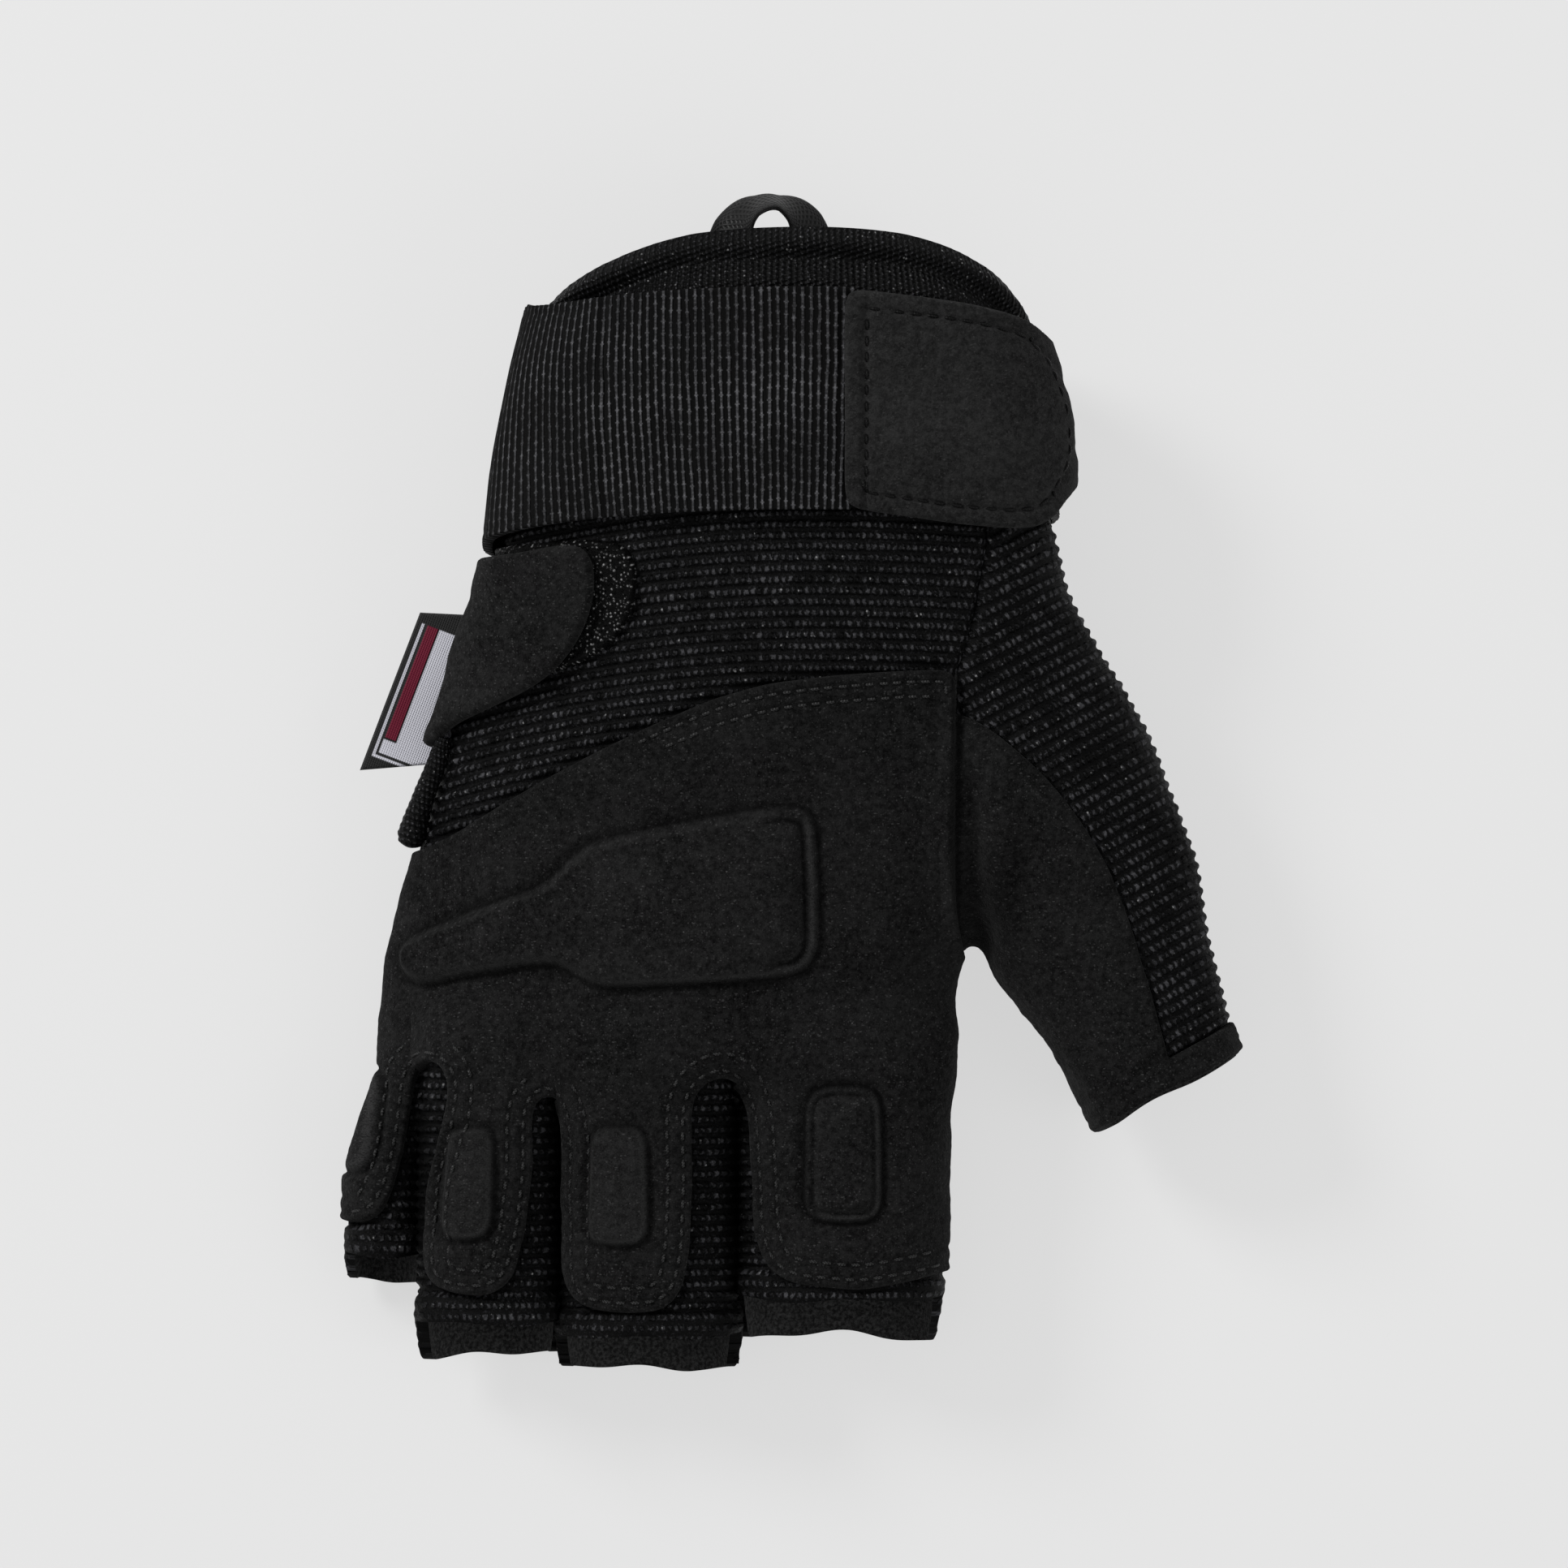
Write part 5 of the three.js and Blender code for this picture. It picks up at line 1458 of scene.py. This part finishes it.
def sweep(name, path, q, A, B, ra, rb, mat, around=16, cap=True, power=2.0, st_scale=(1, 1)):
    """A tube on a path: A and B are the section's axes, ra and rb its half widths."""
    n = len(path)
    ang = np.arange(around) * 2 * np.pi / around
    c, s = np.cos(ang), np.sin(ang)
    cx, sx = np.sign(c) * np.abs(c) ** (2 / power), np.sign(s) * np.abs(s) ** (2 / power)
    ra, rb = np.broadcast_to(ra, n), np.broadcast_to(rb, n)
    V = path[:, None, :] + A[:, None, :] * (ra[:, None] * cx[None])[..., None] + B[:, None, :] * (rb[:, None] * sx[None])[..., None]
    V = V.reshape(-1, 3)
    i = np.arange(n - 1)[:, None] * around
    k = np.arange(around)[None]
    k2 = (k + 1) % around
    Q = np.stack([i + k, i + k2, i + around + k2, i + around + k], -1).reshape(-1, 4)
    stv = np.stack([np.repeat(q, around) * st_scale[0], np.tile(ang * ra.mean(), n) * st_scale[1], np.zeros(n * around)], 1)
    if cap:
        for end, flip_ in ((0, False), (n - 1, True)):
            c0 = len(V)
            V = np.concatenate([V, path[end][None]])
            stv = np.concatenate([stv, stv[end * around][None]])
            kk = np.arange(around)
            tri = np.stack([np.full(around, c0), end * around + (kk + 1) % around, end * around + kk, np.full(around, c0)], 1)
            # fans of quads with a repeated corner are not allowed, so two wedges share each quad
            w = np.arange(0, around, 2)
            quad = np.stack([np.full(len(w), c0), end * around + (w + 2) % around, end * around + (w + 1) % around, end * around + w], 1)
            Q = np.concatenate([Q, quad[:, ::-1] if flip_ else quad])
    # outward faces
    cen = V[Q].mean(1)
    N = vertex_normals(V, Q)
    mid = path[n // 2]
    j = (n // 2) * around
    if (N[j] * (V[j] - mid)).sum() < 0:
        Q = Q[:, ::-1].copy()
        N = -N
    return make_object(name, V, Q, mat, N, {"rest": V + np.array([3.1, 1.7, 0.4]), "st": stv})


def unit(v):
    return v / np.maximum(np.linalg.norm(v, axis=-1, keepdims=True), 1e-9)


# pull loop: a folded tape whose face turns towards the back of the hand
LP = [[-9.0, 71.5, 8.5], [-9.2, 80, 9.5], [-8.9, 86.5, 11.0], [-7.4, 91.4, 12.6], [-4.6, 94.8, 13.6], [-1.2, 96.0, 14.0], [2.2, 94.8, 13.6],
      [5.0, 91.2, 12.6], [6.2, 86.5, 11.0], [6.5, 80, 9.5], [6.5, 71.5, 8.5]]
path, q = spline(LP, 110)
T = unit(np.gradient(path, axis=0))
mid = np.array([-1.3, 80.0, 12.0])
outw = unit(np.stack([path[:, 0] - mid[0], path[:, 1] - mid[1], 0 * q], 1))
outw = unit(outw - T * (outw * T).sum(1)[:, None])
zz = np.array([0, 0, 1.0])
f_ = q / q[-1]
tilt = np.interp(f_, [0, 0.36, 0.46, 0.52, 0.62, 1.0], [1.35, 1.25, 0.45, 0.30, 1.0, 1.15])
A = unit(outw * np.sin(tilt)[:, None] - zz * np.cos(tilt)[:, None])
A = unit(A - T * (A * T).sum(1)[:, None])
B = np.cross(T, A)
ob = sweep("pull_loop_tape", path, q, A, B, 3.6, 0.55, TAPE, around=20, power=3.4)
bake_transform(ob)
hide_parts("pull_loop")

# rolled edge of the vent
path, q = spline([[-52.6, 11.5, 17.6], [-54.1, 6.9, 17.0], [-55.9, 2.4, 15.8], [-57.3, -1.8, 14.6], [-58.3, -5.4, 13.4]], 60)
T = unit(np.gradient(path, axis=0))
A = unit(np.cross(T, np.array([0, 0, 1.0])))
B = np.cross(T, A)
r = np.interp(q / q[-1], [0, 0.1, 0.6, 0.9, 0.97, 1.0], [1.1, 1.5, 1.8, 2.3, 1.9, 0.9])
lump = 1 + 0.03 * np.sin(q * 5)
ob = sweep("vent_rolled_edge", path, q, A, B, r * lump, r * 1.1 * lump, CUFF, around=24)
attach(ob, "hand")
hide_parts("vent_binding")

# woven side label
u, v = np.meshgrid(np.linspace(0, 1, 57), np.linspace(0, 1, 113), indexing="ij")
c00, c10, c01, c11 = np.array([-66.2, 6.5]), np.array([-52.6, 7.6]), np.array([-56.7, 31.4]), np.array([-46.6, 30.9])
XY = (c00 * ((1 - u) * (1 - v))[..., None] + c10 * (u * (1 - v))[..., None] + c01 * ((1 - u) * v)[..., None] + c11 * (u * v)[..., None])
zt = 10.2 + 0.55 * np.sin(v * 3.0 + 0.4) * (1 - u) - 0.2 * np.cos(v * 7) * (1 - u)
ed = np.minimum.reduce([u * 12, (1 - u) * 12, v * 25, (1 - v) * 25])
th = 0.42 * np.sqrt(np.clip(1 - (1 - np.clip(ed / 0.5, 0, 1)) ** 2, 0, 1))
long_ = unit((c01 - c00)[None])[0]
acr = np.array([long_[1], -long_[0]])
S = ((XY - c00) @ acr)
Tt = ((XY - c00) @ long_)
topv = np.concatenate([XY, (zt + th)[..., None]], -1).reshape(-1, 3)
botv = np.concatenate([XY, (zt - th)[..., None]], -1).reshape(-1, 3)
nu, nv = u.shape
i = (np.arange(nu - 1)[:, None] * nv + np.arange(nv - 1)[None]).ravel()
Qt = np.stack([i, i + nv, i + nv + 1, i + 1], 1)
Qb = Qt[:, ::-1] + nu * nv
V = np.concatenate([topv, botv])
stl = np.stack([S.ravel(), Tt.ravel(), 0 * S.ravel()], 1)
Qa = np.concatenate([Qt, Qb])
N = vertex_normals(V, Qa)
ob = make_object("side_label_woven", V, Qa, LABEL_M, N, {"rest": V, "st": np.concatenate([stl, stl])})
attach(ob, "label")
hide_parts("side_label")


# ------------------------------------------------------------------ stitches
from mathutils.kdtree import KDTree


def tree_of(panel):
    idx = np.nonzero(panel.N[:, 2] > 0.04)[0]
    t = KDTree(len(idx))
    for i in idx:
        t.insert((panel.R[i, 0], panel.R[i, 1], 0.0), int(i))
    t.balance()
    return t


def under_tree(panel):
    idx = np.nonzero(panel.N[:, 2] < -0.2)[0]
    t = KDTree(len(idx))
    for i in idx:
        t.insert((panel.R[i, 0], panel.R[i, 1], 0.0), int(i))
    t.balance()
    return t


def runs(points, gap=1.2):
    d = np.linalg.norm(np.diff(points, axis=0), axis=1)
    cuts = np.nonzero(d > gap)[0] + 1
    return [r for r in np.split(points, cuts) if len(r) > 4]


def lay_stitches(panel, tree, lines, pitch=2.3, length=1.65, radius=0.27, keep=None, seed=0):
    """Places stitches on a panel along lines in plan; returns centres, directions, normals."""
    rng = np.random.default_rng(seed)
    P0, P1, N0 = [], [], []
    for ln_ in lines:
        d = np.concatenate([[0], np.cumsum(np.linalg.norm(np.diff(ln_, axis=0), axis=1))])
        n = int(d[-1] / pitch)
        for k in range(n):
            c = (k + 0.5) * pitch + rng.uniform(-0.08, 0.08)
            e = [np.array([np.interp(c + o, d, ln_[:, 0]), np.interp(c + o, d, ln_[:, 1])]) for o in (-length / 2, length / 2)]
            if keep is not None and not keep((e[0] + e[1]) / 2):
                continue
            pts = []
            for p in e:
                co, i, dist = tree.find((p[0], p[1], 0.0))
                if dist > 0.6:
                    break
                nn = panel.N[i]
                top = panel.top[i].copy()
                dx = p - panel.R[i, :2]
                top[:2] += dx
                top[2] += -(nn[0] * dx[0] + nn[1] * dx[1]) / (nn[2] if abs(nn[2]) > 0.3 else np.sign(nn[2]) * 0.3)
                pts.append((top, nn))
            if len(pts) == 2:
                P0.append(pts[0][0]); P1.append(pts[1][0]); N0.append(unit((pts[0][1] + pts[1][1])[None])[0])
    return np.array(P0), np.array(P1), np.array(N0)


def stitch_mesh(P0, P1, N0, radius=0.27):
    T_ = P1 - P0
    L = np.linalg.norm(T_, axis=1)
    ok = (L > 0.6) & (L < 3.5)
    P0, P1, N0, T_, L = P0[ok], P1[ok], N0[ok], T_[ok], L[ok]
    Tn = T_ / L[:, None]
    N_ = unit(N0 - Tn * (N0 * Tn).sum(1)[:, None])
    B_ = np.cross(Tn, N_)
    ts = np.array([0, .1, .3, .5, .7, .9, 1.0])
    up = np.array([-.24, -.02, .10, .13, .10, -.02, -.24])
    rr = np.array([.35, .8, 1, 1.04, 1, .8, .35]) * radius
    ang = np.arange(8) * 2 * np.pi / 8
    K, M, A_ = len(P0), len(ts), len(ang)
    C = P0[:, None] + T_[:, None] * ts[None, :, None] + N_[:, None] * up[None, :, None]
    ring = (N_[:, None, None] * (np.cos(ang)[None, None, :, None] * 0.85) + B_[:, None, None] * np.sin(ang)[None, None, :, None]) * rr[None, :, None, None]
    V = (C[:, :, None] + ring).reshape(-1, 3)
    k = np.arange(K)[:, None, None] * M * A_
    m = np.arange(M - 1)[None, :, None] * A_
    a = np.arange(A_)[None, None]
    a2 = (a + 1) % A_
    Q = np.stack([k + m + a, k + m + A_ + a, k + m + A_ + a2, k + m + a2], -1).reshape(-1, 4)
    s = np.broadcast_to((L[:, None] * ts[None])[:, :, None], (K, M, A_)).ravel()
    t = np.broadcast_to((ang / 6.283)[None, None], (K, M, A_)).ravel()
    cen = np.repeat((P0 + P1) / 2, M * A_, axis=0)
    return V, Q, np.stack([s, t, 0 * s], 1), cen, M * A_


def stitch_objects(tag, rows, mat, radius=0.27):
    P0, P1, N0 = (np.concatenate([r[k] for r in rows if len(r[0])]) for k in range(3))
    V, Q, stv, cen, per = stitch_mesh(P0, P1, N0, radius)
    N = vertex_normals(V, Q)
    e = V - cen
    own = owner(cen)
    fo = own[Q[:, 0]]
    out = {}
    for kk in sorted(set(fo.tolist())):
        q = Q[fo == kk]
        used = np.unique(q)
        bk = np.full(len(V), -1)
        bk[used] = np.arange(len(used))
        out[kk] = make_object(tag + "_" + SHORT[kk], V[used], bk[q], mat, N[used], {"rest": V[used], "st": stv[used]})
    return out


ov_tree = tree_of(ov)
keep_ov = lambda p: ((p[1] < -37 and (p[0] < 24 or p[1] < -60)) or (-21.5 < p[0] < 26.5 and p[1] > 10 and not (p[0] > 22.4 and p[1] < 16.6))) and p[0] > -71 and p[0] < 31
rows = []
for inset in (1.6, 3.9):
    rows.append(lay_stitches(ov, ov_tree, runs(OVERLAY.inset(inset, 0.4)), pitch=2.15, length=1.5, keep=keep_ov, seed=int(inset * 10)))
for kk, ob in stitch_objects("overlay_stitches", rows, THREAD, 0.25).items():
    hold(ob, kk)
tab_tree = tree_of(tb)
tab_line = STRAP_TAB.inset(2.8, 0.4)
tab_line = tab_line[tab_line[:, 0] > 13.0]
tab_line = tab_line[np.argsort(((np.arctan2(tab_line[:, 1] - 62, tab_line[:, 0] - 25)) + 2 * np.pi) % (2 * np.pi) + np.where(np.arctan2(tab_line[:, 1] - 62, tab_line[:, 0] - 25) > np.pi * 0.5 + 0.5, -2 * np.pi, 0))]


# the tab's own stitch line is read on its raised surface, so its points are brought back to the form
def to_form(pts, h_):
    P = np.concatenate([pts, np.full((len(pts), 1), 30.0)], 1)
    lo, hi = np.full(len(pts), 5.0), np.full(len(pts), 44.0)
    for _ in range(24):
        m = (lo + hi) / 2
        inside = form(np.stack([pts[:, 0], pts[:, 1], m], 1)) < 0
        lo, hi = np.where(inside, m, lo), np.where(inside, hi, m)
    S_ = np.stack([pts[:, 0], pts[:, 1], lo], 1)
    for _ in range(4):
        g = unit(gradient(form, S_))
        err = (S_ + g * h_)[:, :2] - pts
        S_[:, :2] -= err * 0.9
        S_ = project(S_, 0.0, 1)
    return S_[:, :2]


vert = np.stack([np.full(70, 13.3), np.linspace(49.2, 78.6, 70)], 1)
rows = [lay_stitches(tb, tab_tree, runs(to_form(tab_line, 3.9), 2.0), pitch=2.5, length=1.8, seed=3),
        lay_stitches(tb, tab_tree, [vert], pitch=2.5, length=1.8, seed=4)]
for kk, ob in stitch_objects("tab_stitches", rows, THREAD_DARK, 0.30).items():
    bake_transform(ob)
rows = []
for name, (O, pp) in patch_lines.items():
    rows.append(lay_stitches(pp, under_tree(pp), runs(O.inset(2.0, 0.4)), pitch=2.6, length=1.9, seed=5))
for kk, ob in stitch_objects("patch_stitches", rows, THREAD_DARK, 0.28).items():
    hold(ob, kk)

# ------------------------------------------------------------------ floor, light, camera
def flat_material(name, tone, glow):
    m = bpy.data.materials.new(name)
    m.use_nodes = True
    t = m.node_tree
    b = t.nodes["Principled BSDF"]
    b.inputs["Base Color"].default_value = (tone, tone, tone, 1)
    b.inputs["Roughness"].default_value = 1.0
    b.inputs["Specular IOR Level"].default_value = 0.0
    n = t.nodes.new("ShaderNodeTexNoise")
    n.inputs["Scale"].default_value = 40.0
    r = t.nodes.new("ShaderNodeMapRange")
    r.inputs["To Min"].default_value = tone * 0.995
    r.inputs["To Max"].default_value = tone * 1.005
    t.links.new(n.outputs[0], r.inputs["Value"])
    c = t.nodes.new("ShaderNodeCombineXYZ")
    for k in range(3):
        t.links.new(r.outputs[0], c.inputs[k])
    t.links.new(c.outputs[0], b.inputs["Base Color"])
    b.inputs["Emission Color"].default_value = (1, 1, 1, 1)
    b.inputs["Emission Strength"].default_value = glow
    return m


FLOOR_Z = -0.0008
me = bpy.data.meshes.new("floor")
me.from_pydata([(-4, -4, FLOOR_Z), (4, -4, FLOOR_Z), (4, 4, FLOOR_Z), (-4, 4, FLOOR_Z)], [], [(0, 1, 2, 3)])
me.materials.append(flat_material("floor_pale", 0.16, 0.615))
floor = bpy.data.objects.new("floor", me)
bpy.context.scene.collection.objects.link(floor)

scene = bpy.context.scene
scene.view_settings.view_transform = "Standard"
scene.view_settings.look = "None"
scene.view_settings.exposure = 0.0
scene.view_settings.gamma = 1.0
world = bpy.data.worlds.new("studio")
world.use_nodes = True
world.node_tree.nodes["Background"].inputs[0].default_value = (0.79, 0.79, 0.79, 1)
world.node_tree.nodes["Background"].inputs[1].default_value = 0.72
scene.world = world


def area(name, at, to, size, watts):
    l = bpy.data.lights.new(name, "AREA")
    l.shape = "DISK"
    l.size = size
    l.energy = watts
    o = bpy.data.objects.new(name, l)
    o.location = at
    o.rotation_euler = (Vector(to) - Vector(at)).to_track_quat("-Z", "Y").to_euler()
    scene.collection.objects.link(o)
    return o


area("key", (-1.1, 0.9, 1.0), (0, 0, 0.02), 0.6, 24)
area("fill", (1.2, -0.5, 1.1), (0, 0, 0.02), 0.9, 5)
cam = bpy.data.cameras.new("camera")
cam.lens = 250
cam.sensor_width = 36
cam.clip_start = 0.05
cam.clip_end = 20
camera = bpy.data.objects.new("camera", cam)
camera.location = (0.76 * MM, 4.33 * MM, (1709 + 20) * MM)
scene.collection.objects.link(camera)
scene.camera = camera
